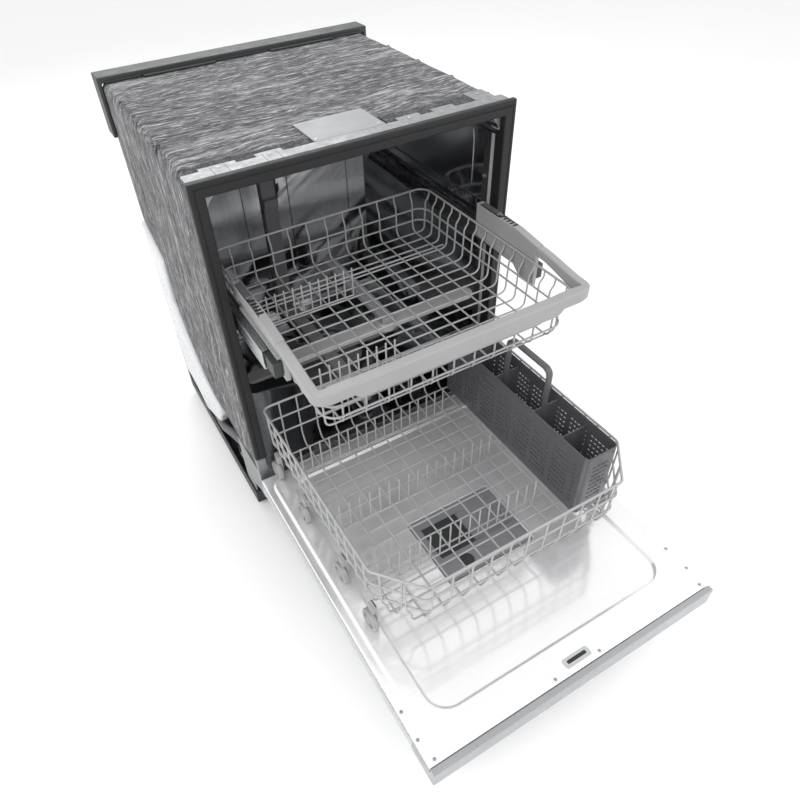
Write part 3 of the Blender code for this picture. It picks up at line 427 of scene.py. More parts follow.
def dress(surface, *nodes, edge=0.0008, segments=2, angle=32):
    """Gives CAD nodes a better surface and rounds their edges."""
    for name in nodes:
        thing = NODES[name]
        data = thing.data
        if "custom_normal" in data.attributes:
            data.attributes.remove(data.attributes["custom_normal"])
        data.materials.clear()
        data.materials.append(surface.material)
        smooth_by_angle(data, angle)
        weld = thing.modifiers.new("weld", "WELD")
        weld.merge_threshold = 0.00001
        flat = thing.modifiers.new("flat", "DECIMATE")
        flat.decimate_type, flat.angle_limit = "DISSOLVE", radians(0.5)
        if edge:
            round_off = thing.modifiers.new("edges", "BEVEL")
            round_off.width, round_off.segments = edge, segments
            round_off.limit_method, round_off.angle_limit = "ANGLE", radians(angle)
            round_off.use_clamp_overlap = True
        weigh(thing)


def screw(mesh, centre, axis=Z, radius=0.0042, height=0.0016):
    """A pan-head screw with a sunk middle."""
    profile = [(0, -0.001), (radius, -0.001), (radius, height * 0.35), (radius * 0.86, height * 0.8),
               (radius * 0.5, height), (radius * 0.42, height), (radius * 0.3, height * 0.35), (0, height * 0.3)]
    mesh.add(*lathe(profile, centre, axis, 20))


# ---- cabinet shell
TUB, TUB_TOP, TUB_BACK = 0.276, 0.828, 0.5397
FELT_X, FELT_Z, FELT_LOW = 0.2925, 0.8415, 0.206
FELT_FRONT, FELT_BACK = 0.018, 0.552
FELT_SKIN, FELT_CORNER = 0.01, 0.014
# (depth, height) along the left side's lower edge, which is cut away round the tank
FELT_EDGE = [(-0.01, 0.207), (0.238, 0.209), (0.35, 0.23), (0.436, 0.353), (0.438, 0.501), (0.58, 0.562)]


def felt_bulge(p):
    """How far the felt stands out at a point, falling to nothing at its edges."""
    y = p.y - FRONT
    inside = max(0.0, min(1.0, (y - FELT_FRONT) / 0.05, (0.53 - y) / 0.05))
    fine = noise.noise(p * 19.0 + Vector((3, 1, 5)))
    return inside * (0.0011 + 0.0032 * noise.noise(p * 7.0) + 0.0018 * fine)


def felt_low(y):
    """Height of the felt's lower edge on the left."""
    for (y0, z0), (y1, z1) in zip(FELT_EDGE, FELT_EDGE[1:]):
        if y <= y1:
            return z0 + (z1 - z0) * (y - y0) / (y1 - y0)
    return FELT_EDGE[-1][1]


def felt_profile(y, inset):
    """The wrap's outline at one depth, from left over the top to right."""
    half, top, corner = FELT_X - inset, FELT_Z - inset, FELT_CORNER - inset * 0.5
    shoulder = top - corner
    bend = [(corner * sin(a), corner * cos(a)) for a in spaced(0, pi / 2, 7)]
    points = [(-half, z) for z in spaced(felt_low(y), shoulder, 70)]
    points += [(-half + corner - b, shoulder + a) for a, b in bend[1:]]
    points += [(x, top) for x in spaced(-half + corner, half - corner, 90)[1:]]
    points += [(half - corner + a, shoulder + b) for a, b in bend[1:]]
    return points + [(half, z) for z in spaced(shoulder, FELT_LOW, 70)[1:]]


def felt():
    """The blanket as a wrapped skin with a back panel, puckered between its staples."""
    depths = spaced(FELT_FRONT, FELT_BACK, 90)
    rings = [[at(x, y, z) for x, z in felt_profile(y, 0.0)] for y in depths]
    last = len(rings[0]) - 1
    for ring in rings:
        for k, p in enumerate(ring):
            on, back = ring[min(k + 1, last)], ring[max(k - 1, 0)]
            out = Vector((back.z - on.z, 0, on.x - back.x)).normalized()
            ring[k] = p + out * (felt_bulge(p) if 0 < k < last else 0.0)
    inner = [[at(x, y, z) for x, z in felt_profile(y, FELT_SKIN)] for y in depths]
    made = Mesh().add(*bridge([ring + back[::-1] for ring, back in zip(rings, inner)]))
    across, heights = spaced(-0.286, 0.286, 60), spaced(0.212, 0.835, 60)
    panel = [[at(x, FELT_BACK - 0.001 + 0.001 * noise.noise(Vector((x * 9, z * 9, 0))), z) for x in across]
             for z in heights]
    behind = [[at(x, FELT_BACK - FELT_SKIN, z) for x in across] for z in heights]
    made.add(*bridge([row + under[::-1] for row, under in zip(panel, behind)]))
    blanket = made.make("felt_blanket", FELT_TOP, "cabinet", "grey_felt", ("insulation_blanket",), 60)
    for surface in (FELT_SIDE, FELT_DARK):
        blanket.data.materials.append(surface.material)
    for face in blanket.data.polygons:
        middle, facing = face.center, face.normal
        front_edge = abs(facing.y) > 0.9 and middle.y < FRONT + 0.1
        low_edge = abs(facing.z) > 0.9 and middle.z < 0.22
        on_top = middle.z > FELT_Z - 0.012 and abs(facing.x) < 0.75
        face.material_index = 2 if front_edge or low_edge else 0 if on_top else 1


def felt_strip():
    """The dark cut layer of felt along the front of the top, parted by the data plate."""
    for word, x0, x1, reach in (("left", -0.284, -0.078, 0.06), ("right", 0.064, 0.282, 0.07)):
        count = ceil((x1 - x0) / 0.004)
        rings = []
        for k in range(count + 1):
            x = x0 + (x1 - x0) * k / count
            ragged = 0.004 * noise.noise(Vector((x * 22, 1.5, 0)))
            back = reach + ragged + 0.0015 * noise.noise(Vector((x * 120, 4.5, 0)))
            low, high = FELT_Z - 0.002, FELT_Z + 0.0026 + 0.0006 * noise.noise(Vector((x * 60, 0, 2)))
            rings.append([at(x, 0.024, low), at(x, 0.0235, high - 0.0008), at(x, 0.025, high),
                          at(x, back - 0.003, high), at(x, back, high - 0.0014), at(x, back + 0.001, low)])
        strip = Mesh().add(*bridge(rings))
        strip.make(f"felt_strip_{word}", FELT_DARK, "cabinet", "grey_felt", angle=50)


def staples():
    """Small clips over the felt's top edges."""
    runs = []
    for y in (0.055, 0.17, 0.29, 0.41):
        for side in (-1, 1):
            arc = [at(side * x, y + shift, FELT_Z + rise) for x, rise, shift in
                   ((0.2925, -0.012, -0.002), (0.294, -0.01, 0.0), (0.289, 0.0004, 0.003),
                    (0.283, -0.0004, 0.006))]
            runs.append((bent(arc, 0.004), 0.0009))
    wire_piece("felt_staples", runs, BLACK, "cabinet", "black_plastic")


# the trim's middle line: half width, top and lower end
TRIM_X, TRIM_TOP, TRIM_END = 0.28625, 0.8355, 0.257


def gasket():
    """Charcoal trim with a groove down its face and a lip round the flange."""
    path = [at(-TRIM_X, 0, TRIM_END), at(-TRIM_X, 0, TRIM_TOP), at(TRIM_X, 0, TRIM_TOP), at(TRIM_X, 0, TRIM_END)]
    outline = [(-0.01225, -0.0005), (-0.01225, -0.0088), (-0.0115, -0.0112), (-0.0098, -0.0128),
               (-0.0078, -0.0134), (-0.0052, -0.0135), (-0.0045, -0.0125), (-0.0028, -0.0125),
               (-0.0021, -0.0137), (0.0088, -0.014), (0.0106, -0.0135), (0.0118, -0.0122), (0.01225, -0.0104),
               (0.01225, 0.0108), (0.0116, 0.0118), (0.0102, 0.0119), (0.0094, 0.011), (0.0093, -0.0005)]
    made = Mesh().add(*sweep(path, lambda k: [(-a, y) for a, y in outline], up=Y))
    made.make("tub_trim", CHARCOAL, "cabinet", "charcoal_plastic", ("tub_gasket",), 24)


def mouth():
    """The door seal and, before it inside the tub's mouth, a painted highlight: a band of the tub's own steel drawn
    in the brighter steel.
    """
    half, top = TUB - 0.0002, TUB_TOP - 0.0002
    corners = rounded_rect(-half, half, 0.15, top, 0.0448, 8)
    line = [(half, 0.2065), *corners[:len(corners) // 2], (-half, 0.2065)]
    lip = [(0.0001, -0.009), (0.0018, -0.009), (0.003, -0.006), (0.0022, -0.002), (0.003, 0.003),
           (0.0018, 0.009), (0.0001, 0.009)]
    band = [(0.0001, -0.0105), (0.0005, -0.0105), (0.0005, 0.0105), (0.0001, 0.0105)]
    strips = (("door_seal", 0.033, lip, RUBBER, "charcoal_plastic"),
              # the band along the mouth is a painted highlight: the tub's own steel, by its slot, drawn in the
              # bright steel where light falls in
              ("mouth_highlight_band", 0.0125, band, STEEL, "tub_steel"))
    for name, y, outline, surface, slot in strips:
        strip = Mesh().add(*sweep([at(x, y, z) for x, z in line], lambda k: [(-a, b) for a, b in outline], up=Y))
        strip.make(name, surface, "cabinet", slot, angle=40)


def tub_beads():
    """Rounded frames pressed into the tub's side and back walls."""
    radius = 0.0016
    frame = rounded_rect(0.075, 0.48, 0.64, 0.795, 0.04, 6)
    beads = [([at(side * 0.2757, y, z) for y, z in frame], radius, True) for side in (-1, 1)]
    panel = [at(x, TUB_BACK, z) for x, z in rounded_rect(-0.225, -0.06, 0.3, 0.78, 0.03, 6)]
    beads += [(panel, radius, True), ([p.reflect(X) for p in panel], radius, True)]
    wire_piece("tub_beads", beads, TUB_STEEL, "cabinet", "tub_steel")


FLANGE_TOP = 0.845


def flange_details():
    """The blank data plate, screws and stiffening beads on the flange."""
    plate = soft_box(-0.0725, 0.0575, 0.03, 0.1175, FLANGE_TOP - 0.0006, FLANGE_TOP + 0.0003, 0.0002, 0.004)
    Mesh().add(*plate).make("data_plate", LABEL, "cabinet", "zinc_plate")
    studs = Mesh()
    for x, y in ((0.0505, 0.04), (-0.0655, 0.04), (0.262, 0.056), (-0.235, 0.03), (0.105, 0.031),
                 (-0.15, 0.031)):
        screw(studs, at(x, y, FLANGE_TOP - 0.0002), radius=0.0036, height=0.0012)
    for side in (-1, 1):
        for z in (0.3, 0.52, 0.74):
            screw(studs, at(side * 0.2855, -0.0002, z), -Y, 0.003, 0.0002)
        screw(studs, at(side * 0.2737, 0.033, 0.7), -side * X, 0.0055, 0.0014)
        for y, z in ((0.02, 0.16), (0.1, 0.115)):
            screw(studs, at(side * 0.2935, y, z), side * X, 0.004, 0.0014)
    studs.make("flange_studs", SCREW, "cabinet", "zinc_plate")
    ribs, z = [], FLANGE_TOP - 0.0004
    for x, end in ((-0.235, 0.034), (-0.15, 0.036), (0.105, 0.036), (0.175, 0.036), (0.262, 0.044)):
        for shift in (-0.012, 0.012):
            ribs.append(([at(x + shift, 0.004, z), at(x + shift, end, z)], 0.0011))
    wire_piece("flange_beads", ribs, ZINC, "cabinet", "zinc_plate")


def channel_details():
    """Folded lip, end ribs and shallow stampings of the rear channel."""
    lip = Mesh()
    for x0, x1, reach in ((-0.286, -0.214, 0.005), (-0.212, -0.06, 0.011), (-0.058, 0.06, 0.004),
                          (0.062, 0.214, 0.011), (0.216, 0.286, 0.005)):
        lip.add(*soft_box(x0, x1, 0.536 - reach, 0.541, 0.8432, 0.8462, 0.0008, 0.003))
    for side in (-1, 1):
        for z in (0.76, 0.79, 0.82):
            lip.add(*side_box(side, 0.2992, 0.3013, 0.541, 0.579, z - 0.0014, z + 0.0014, 0.0005, 0.0009))
    for k in range(18):
        x = -0.255 + 0.03 * k
        lip.add(*soft_box(x - 0.01, x + 0.01, 0.553, 0.5565, 0.8532, 0.85395, 0.0003, 0.0015))
    lip.make("channel_lip", CHANNEL, "cabinet", "dark_grey_plastic")


HOSE_ROUTE = [(-0.1766, 0.27, 0.166), (-0.196, 0.266, 0.166), (-0.222, 0.232, 0.166), (-0.236, 0.186, 0.166),
              (-0.246, 0.142, 0.164), (-0.262, 0.118, 0.16), (-0.277, 0.132, 0.156), (-0.284, 0.17, 0.15),
              (-0.287, 0.214, 0.134), (-0.288, 0.262, 0.106), (-0.288, 0.296, 0.086), (-0.286, 0.332, 0.07),
              (-0.2835, 0.37, 0.056), (-0.283, 0.42, 0.046), (-0.283, 0.464, 0.046), (-0.284, 0.5, 0.056),
              (-0.2885, 0.518, 0.076), (-0.2895, 0.52, 0.0994)]
HOSE_RADIUS, RIB_DEPTH, CUFF_DEPTH = 0.0099, 0.0014, 0.0004
RIB_PITCH, RIB_STEPS, CUFF_STEPS = 0.0046, 6, 26


def catmull(points, steps):
    """A smooth line through points."""
    padded = [points[0], *points, points[-1]]
    made = []
    for a, b, c, d in zip(padded, padded[1:], padded[2:], padded[3:]):
        for k in range(steps):
            t = k / steps
            curve = (2 * a - 5 * b + 4 * c - d) * t * t + (3 * b - a - 3 * c + d) * t ** 3
            made.append(0.5 * (2 * b + (c - a) * t + curve))
    return made + [points[-1]]


def even(points, step):
    """The same line with its points a step apart."""
    made, left = [points[0]], step
    for a, b in zip(points, points[1:]):
        length = (b - a).length
        while left < length:
            made.append(a.lerp(b, left / length))
            left += step
        left -= length
    return made + [points[-1]]


def hose():
    """The ribbed drain hose, smooth at its two cuffs."""
    line = even(catmull([at(*p) for p in HOSE_ROUTE], 12), RIB_PITCH / RIB_STEPS)
    last = len(line) - 1

    def ring(k):
        cuff = min(k, last - k) < CUFF_STEPS
        groove = RIB_DEPTH / 2 * (1 - cos(2 * pi * k / RIB_STEPS))
        return circle(HOSE_RADIUS - (CUFF_DEPTH if cuff else groove), 20)

    Mesh().add(*sweep(line, ring)).make("ribbed_hose", HOSE, "cabinet", "hose_rubber", ("drain_hose",), 60)


def springs():
    """Coil springs that narrow to a straight tail at each end."""
    low, high, z = 0.0605, 0.2, 0.09
    turns, per_turn, radius = 30, 14, 0.0076
    for x, word in ((-0.28, "left"), (0.28, "right")):
        coil = []
        for share in spaced(0, 1, turns * per_turn + 1):
            angle = 2 * pi * share * turns
            reach = radius * min(1.0, min(share, 1 - share) * turns / 1.5)
            y = low + 0.01 + (high - low - 0.02) * share
            coil.append(at(x + reach * cos(angle), y, z + reach * sin(angle)))
        line = [at(x, low + 0.001, z)] + coil + [at(x, high - 0.001, z)]
        wire_piece(f"coil_spring_{word}", [(line, 0.0012)], SCREW, "cabinet", "zinc_plate",
                   (f"door_spring_{word}",))


def tank_details():
    """A moulded bead inside the tank's outline, and four shallow round pads."""
    edge = [(0.252, 0.19), (0.284, 0.142), (0.4, 0.086), (0.476, 0.112), (0.544, 0.112), (0.544, 0.528),
            (0.444, 0.488), (0.462, 0.372), (0.357, 0.214)]
    bead = bent([at(-0.3, y, z) for y, z in edge], 0.01, True, 6)
    wire_piece("tank_bead", [(bead, 0.0013, True)], WHITE, "cabinet", "white_plastic")
    pads = Mesh()
    for y, z, size in ((0.33, 0.15, 0.01), (0.358, 0.132, 0.007), (0.5, 0.18, 0.014), (0.5, 0.4, 0.014)):
        pads.add(*lathe([(0, -0.001), (size, -0.001), (size, 0.0004), (size - 0.001, 0.0008), (0, 0.0008)],
                        at(-0.3004, y, z), -X, 32))
    pads.make("tank_pads", WHITE, "cabinet", "white_plastic")


# ---- racks
WIRE = 0.002
# half width, front, back, floor and top of each rack
UPPER = (0.243, -0.2835, 0.1965, 0.53, 0.624)
LOWER = (0.262, -0.505, 0.0, 0.245, 0.38)
CHAMFER_X, CHAMFER_Y = 0.062, 0.075
SPACER = 0.0035
TINE, FOLD_TINE, FOLD_BAR = 0.0016, 0.0015, 0.0017


def tine(x, y, z, height):
    """An upright tine."""
    return [at(x, y, z + height * share) for share in (0, 0.5, 1)]


def tine_row(name, node, xs, depth, pivot, height):
    """A row of tines on the bar that folds with them, which runs 2 mm past its ends."""
    row = [([at(xs[0] - 0.002, depth, pivot), at(xs[-1] + 0.002, depth, pivot)], FOLD_BAR)]
    row += [(tine(x, depth, pivot, height), FOLD_TINE) for x in xs]
    wire_piece(name, row, COATED, node, "coated_wire", (node,))


def upper_rack():
    """Wires bent to a kink under the top rail, three closed rails, and the tine rows."""
    half, front, back, floor, top = UPPER
    low, wall, wire = floor + WIRE, 0.232, 0.0017
    tip, kink, foot = top - 0.001, top - 0.014, top - 0.026
    walls, grid = [], []
    for y in spaced(front + 0.026, back - 0.02, 16):
        rise = ((half - WIRE, tip), (half - WIRE, kink), (wall, foot), (wall - 0.002, low))
        profile = [at(-x, y, z) for x, z in rise] + [at(x, y, z) for x, z in rise[::-1]]
        walls.append((bent(profile, 0.014), wire))
    for x in spaced(-0.205, 0.205, 11):
        profile = [at(x, y, z) for y, z in
                   ((front + WIRE, tip), (front + WIRE, kink), (front + 0.011, foot), (front + 0.013, low + SPACER),
                    (back - 0.012, low + SPACER), (back - 0.01, foot), (back - WIRE, kink), (back - WIRE, tip))]
        grid.append((bent(profile, 0.018), wire))
    for z, inset, radius in ((top - 0.002, 0.0022, 0.0022), (floor + 0.052, 0.0085, 0.0019),
                             (floor + 0.027, 0.0095, 0.0019)):
        ring = rounded_rect(-half + inset, half - inset, front + inset, back - inset, 0.026, 7)
        walls.append(([at(x, y, z) for x, y in ring], radius, True))
    for y in (-0.1836, 0.0966):
        walls.append(([at(-0.228, y, low + SPACER), at(0.228, y, low + SPACER)], WIRE))
    grid += [(tine(x, -0.1836, low, 0.053), TINE) for x in spaced(-0.2, -0.06, 9)]
    wire_piece("upper_wire_frame", walls, COATED, "upper_rack", "coated_wire", ("upper_rack_walls",))
    wire_piece("upper_wire_floor", grid, COATED, "upper_rack", "coated_wire", ("upper_rack_floor",))
    tine_row("upper_tine_row", "upper_fold_tines", spaced(-0.2, -0.025, 11), 0.0332, 0.5367, 0.0605)


def lower_edge(inset):
    """Plan of the lower rack, inset, with its front corners cut off."""
    half, front, back = LOWER[0] - inset, LOWER[1] + inset, LOWER[2] - inset
    cut_x, cut_y = CHAMFER_X - inset * 0.45, CHAMFER_Y - inset * 0.45
    return [(-half + cut_x, front), (half - cut_x, front), (half, front + cut_y), (half, back), (-half, back),
            (-half, front + cut_y)]


def lower_rack():
    """Slanted wires, three rails with cut front corners, and the tine rows."""
    half, front, back, floor, top = LOWER
    low, tip, wire, spacer = floor + WIRE, top - 0.001, 0.0018, 0.0036
    slope = CHAMFER_X / CHAMFER_Y
    walls, grid = [], []
    for y in spaced(front + 0.03, back - 0.024, 15):
        reach = half - max(0.0, (front + CHAMFER_Y - y) * slope)
        rise = ((reach - 0.0025, tip), (reach - 0.0045, floor + 0.05), (reach - 0.014, floor + 0.026),
                (reach - 0.018, low))
        profile = [at(-x, y, z) for x, z in rise] + [at(x, y, z) for x, z in rise[::-1]]
        walls.append((bent(profile, 0.01), wire))
    for x in spaced(-0.225, 0.225, 13):
        head = front + max(0.0, (abs(x) - half + CHAMFER_X) / slope)
        profile = [at(x, y, z) for y, z in
                   ((head + 0.0025, tip), (head + 0.006, floor + 0.05), (head + 0.016, floor + 0.024),
                    (head + 0.022, low + spacer), (back - 0.016, low + spacer), (back - 0.0045, floor + 0.03),
                    (back - 0.0025, tip))]
        grid.append((bent(profile, 0.012), wire))
    for z, inset, radius in ((top - 0.0024, 0.0022, 0.0024), (floor + 0.094, 0.004, 0.002),
                             (floor + 0.055, 0.006, 0.002)):
        walls.append((bent([at(x, y, z) for x, y in lower_edge(inset)], 0.016, True, 6), radius, True))
    places = spaced(-0.225, 0.111, 17)
    for y in (-0.2527, -0.0869):
        walls.append(([at(-0.232, y, low + spacer), at(0.15, y, low + spacer)], WIRE))
        grid += [(tine(x, y, low, 0.073), TINE) for x in places]
    wire_piece("lower_wire_frame", walls, COATED, "lower_rack", "coated_wire", ("lower_rack_walls",))
    wire_piece("lower_wire_floor", grid, COATED, "lower_rack", "coated_wire", ("lower_rack_floor",))
    tine_row("lower_tine_row", "lower_fold_tines", places, -0.3925, 0.2517, 0.071)


WHEELS = (-0.028, -0.158, -0.316, -0.424)
WHEEL_Z, WHEEL_IN, WHEEL_OUT, WHEEL_RADIUS = 0.222, 0.256, 0.267, 0.0215
# (radius, distance outwards) round the tyre's section
TYRE = ((0.015, 0.0008), (0.02, 0.0004), (0.0213, 0.0016), (WHEEL_RADIUS, 0.003), (WHEEL_RADIUS, 0.008),
        (0.0213, 0.0094), (0.02, 0.0108), (0.0172, 0.011), (0.016, 0.01), (0.016, 0.002))
HUB = ((0.0046, 0.0004), (0.0078, 0.0004), (0.0082, 0.0012), (0.0082, 0.01), (0.0074, 0.0108), (0.0046, 0.0108))
AXLE = ((0, -0.003), (0.004, -0.003), (0.004, 0.0098), (0.0032, 0.0104), (0, 0.0104))
SPOKE = ((-0.0012, -0.0034), (0.0012, -0.0034), (0.0012, 0.0034), (-0.0012, 0.0034))
SPOKES = 6


def wheels():
    """Spoked wheels, and the clips that hold each one to the lower rack."""
    for side, word in SIDES:
        out, clips = side * X, Mesh()
        for number, y in enumerate(WHEELS, 1):
            hub = at(side * WHEEL_IN, y, WHEEL_Z)
            tyre = [[hub + out * h + Vector((0, a, b)) * r for a, b in circle(1, 40)] for r, h in TYRE]
            made = Mesh().add(*bridge(tyre, closed=True)).add(*lathe(HUB, hub, out, 24))
            for a, b in circle(1, SPOKES):
                ray = Vector((0, a, b))
                line = [hub + out * 0.0058 + ray * reach for reach in (0.006, 0.0166)]
                made.add(*sweep(line, lambda k: SPOKE, up=out))
            node = f"lower_wheel_{word}_{number}"
            made.make(f"roller_{word}_{number}", GREY, node, "grey_plastic", (node,))
            clips.add(*side_box(side, WHEEL_IN - 0.0053, WHEEL_IN - 0.0008, y - 0.0095, y + 0.0095,
                                WHEEL_Z - 0.009, 0.2665, 0.0009, 0.003))
            clips.add(*side_box(side, WHEEL_IN - 0.0045, WHEEL_OUT - 0.0062, y - 0.0085, y + 0.0085,
                                0.246, 0.266, 0.0009, 0.002))
            clips.add(*lathe(AXLE, hub, out, 20))
        clips.make(f"roller_clips_{word}", GREY, "lower_rack", "grey_plastic")


BASKET = (0.164, 0.238, -0.45, -0.02)
BASKET_LOW, BASKET_TOP = 0.2495, 0.3995
BASKET_CORNER, BASKET_WALL = 0.01, 0.0024
SLOT, SLOT_PITCH, SLOT_HEIGHT, SLOT_ROWS, SLOTS_PER_RIB = 0.0066, 0.0092, 0.0036, 9, 6
SOLID_FOOT, SOLID_TOP, SHORTEST_SIDE = 0.014, 0.026, 0.02


def perforated_wall(low, high):
    """Upright wall round the basket, with rows of slots between solid ribs."""
    x0, x1, y0, y1 = BASKET
    base = [Vector((x, y, 0)) for x, y in rounded_rect(x0, x1, y0, y1, BASKET_CORNER, 4)]
    stations, holes = [], []
    for k, start in enumerate(base):
        end = base[(k + 1) % len(base)]
        length = (end - start).length
        stations.append(start)
        holes.append(False)
        if length < SHORTEST_SIDE:
            continue
        count = int((length - 0.012) / SLOT_PITCH)
        margin = (length - count * SLOT_PITCH + (SLOT_PITCH - SLOT)) / 2
        along = (end - start).normalized()
        for i in range(count):
            begin = margin + i * SLOT_PITCH
            stations += [start + along * begin, start + along * (begin + SLOT)]
            holes += [i % SLOTS_PER_RIB != SLOTS_PER_RIB - 1, False]
    foot = low + SOLID_FOOT
    heights, step = [low, foot], (high - SOLID_TOP - foot) / SLOT_ROWS
    for j in range(1, SLOT_ROWS + 1):
        heights += [foot + j * step - SLOT_HEIGHT, foot + j * step]
    heights.append(high)
    count, rows = len(stations), len(heights) - 1

    def point(i, j, inner):
        p = stations[i]
        if inner:
            nearest = Vector((min(max(p.x, x0 + BASKET_CORNER), x1 - BASKET_CORNER),
                              min(max(p.y, y0 + BASKET_CORNER), y1 - BASKET_CORNER), 0))
            p = p + (nearest - p).normalized() * BASKET_WALL
        return at(p.x, p.y, heights[j])

    def solid(i, j):
        return 0 <= j < rows and not (holes[i % count] and 2 <= j < rows - 1 and j % 2 == 0)

    verts, faces, seen = [], [], {}

    def vertex(i, j, inner):
        key = (i % count, j, inner)
        if key not in seen:
            seen[key] = len(verts)
            verts.append(point(*key))
        return seen[key]

    for i in range(count):
        for j in range(rows):
            if not solid(i, j):
                continue
            corners = ((i, j), (i + 1, j), (i + 1, j + 1), (i, j + 1))
            for inner in (0, 1):
                faces.append([vertex(*corner, inner) for corner in corners])
            near, next_along, far, above = corners
            for di, dj, a, b in ((-1, 0, near, above), (1, 0, next_along, far), (0, -1, near, next_along),
                                 (0, 1, above, far)):
                if not solid(i + di, j + dj):
                    faces.append([vertex(*a, 0), vertex(*b, 0), vertex(*b, 1), vertex(*a, 1)])
    return verts, faces


def basket():
    """The cutlery basket, with its brim, floor, dividers and strap handle."""
    x0, x1, y0, y1 = BASKET
    made = Mesh().add(*perforated_wall(BASKET_LOW + 0.001, BASKET_TOP - 0.002))
    edge = 0.0014
    brim = [at(x, y, BASKET_TOP - 0.0035) for x, y in
            rounded_rect(x0 + edge, x1 - edge, y0 + edge, y1 - edge, 0.0085, 5)]
    made.add(*sweep(brim, lambda k: circle(edge, 10, 0.0035), up=Z, closed=True))
    inside = (x0 + 0.002, x1 - 0.002)
    made.add(*soft_box(*inside, y0 + 0.002, y1 - 0.002, BASKET_LOW, BASKET_LOW + 0.003, 0.0006, 0.008))
    for y in (-0.374, -0.2935, -0.1765, -0.096):
        made.add(*soft_box(*inside, y - 0.001, y + 0.001, BASKET_LOW + 0.002, BASKET_TOP - 0.012, 0.0004, 0.0006))
    x, foot, grip = (x0 + x1) / 2, BASKET_LOW + 0.003, BASKET_TOP + 0.0755
    arch = bent([at(x, -0.293, foot), at(x, -0.293, grip), at(x, -0.177, grip), at(x, -0.177, foot)], 0.016,
                steps=8)
    strap = rounded_rect(-0.0068, 0.0068, -0.0025, 0.0025, 0.0018, 3)
    made.add(*sweep(arch, lambda k: [(b, a) for a, b in strap], up=X))
    made.make("cutlery_holder", BASKET_GREY, "lower_rack", "basket_plastic", ("cutlery_basket",), 30)


RIM_TOP, RIM_FRONT = 0.64, -0.2937
ARM_X, ARM_END = 0.2515, -0.1705


def ease(t):
    """From 0 to 1, slow at both ends."""
    t = max(0.0, min(1.0, t))
    return t * t * (3 - 2 * t)


def rim():
    """U-shaped bar, deeper along the middle of its front, with arms that rise."""
    plan = bent([at(-ARM_X, ARM_END, 0), at(-ARM_X, RIM_FRONT, 0), at(ARM_X, RIM_FRONT, 0), at(ARM_X, ARM_END, 0)],
                0.014, steps=8)
    path = []
    for a, b in zip(plan, plan[1:]):
        pieces = max(1, ceil((b - a).length / 0.006))
        path += [a.lerp(b, k / pieces) for k in range(pieces)]
    path.append(plan[-1])

    def section(k):
        p = path[k]
        arm = ease((p.y - FRONT + 0.2845) / 0.114)
        deep = ease((0.196 - abs(p.x)) / 0.01)
        width = 0.0078 + 0.002 * ease((0.24 - abs(p.x)) / 0.006)
        low = RIM_TOP - 0.0235 + 0.0175 * arm - 0.01 * deep
        high = RIM_TOP - 0.0003 + 0.012 * arm - 0.001 * deep
        return rounded_rect(-width, width, low, high, 0.0036, 4)

    made = Mesh().add(*sweep(path, section, up=Z))
    made.make("rack_rim", GREY, "upper_rack", "grey_plastic", ("upper_rack_rim",), 40)
    clips = Mesh()
    for x in (-0.215, -0.11, 0.0, 0.11, 0.215):
        clips.add(*soft_box(x - 0.007, x + 0.007, -0.2865, -0.2795, 0.6165, 0.632, 0.0009, 0.002))
    clips.make("rim_clips", GREY, "upper_rack", "grey_plastic")


BRACKET_FRONT, BRACKET_BACK = -0.1695, 0.012
RIVET = ((0, -0.002), (0.0042, -0.002), (0.0042, 0.0006), (0.0034, 0.0011), (0.0016, 0.0011), (0, 0.0004))


def bracket_details():
    """Slots, rivets and ribs on the height adjusters."""
    for side, word in SIDES:
        grey, dark = Mesh(), Mesh()
        for k in range(5):
            y = BRACKET_FRONT + 0.07 + 0.0095 * k
            dark.add(*side_box(side, 0.246, 0.2572, y, y + 0.0052, 0.6598, 0.66085, 0.0003, 0.0012))
        for y in (BRACKET_FRONT + 0.024, BRACKET_FRONT + 0.052):
            grey.add(*lathe(RIVET, at(side * 0.2435, y, 0.613), -side * X, 20))
        for z in (0.6005, 0.627):
            grey.add(*side_box(side, 0.2424, 0.244, BRACKET_FRONT + 0.008, BRACKET_BACK - 0.006, z - 0.0012,
                               z + 0.0012, 0.0004, 0.0006))
        dark.make(f"bracket_slots_{word}", BLACK, "upper_rack", "black_plastic")
        grey.make(f"bracket_ribs_{word}", GREY, "upper_rack", "grey_plastic")


def slide_details():
    """Stops near the ends of the tub rails."""
    for side, word in SIDES:
        stops = Mesh()
        for y in (0.492, 0.03):
            for z in (0.5755, 0.6115):
                stops.add(*side_box(side, 0.2726, 0.275, y - 0.004, y + 0.004, z, z + 0.003, 0.0006, 0.0012))
        stops.make(f"rail_stops_{word}", BLACK, "cabinet", "black_plastic")


# ---- door
DOOR_Z = 0.2


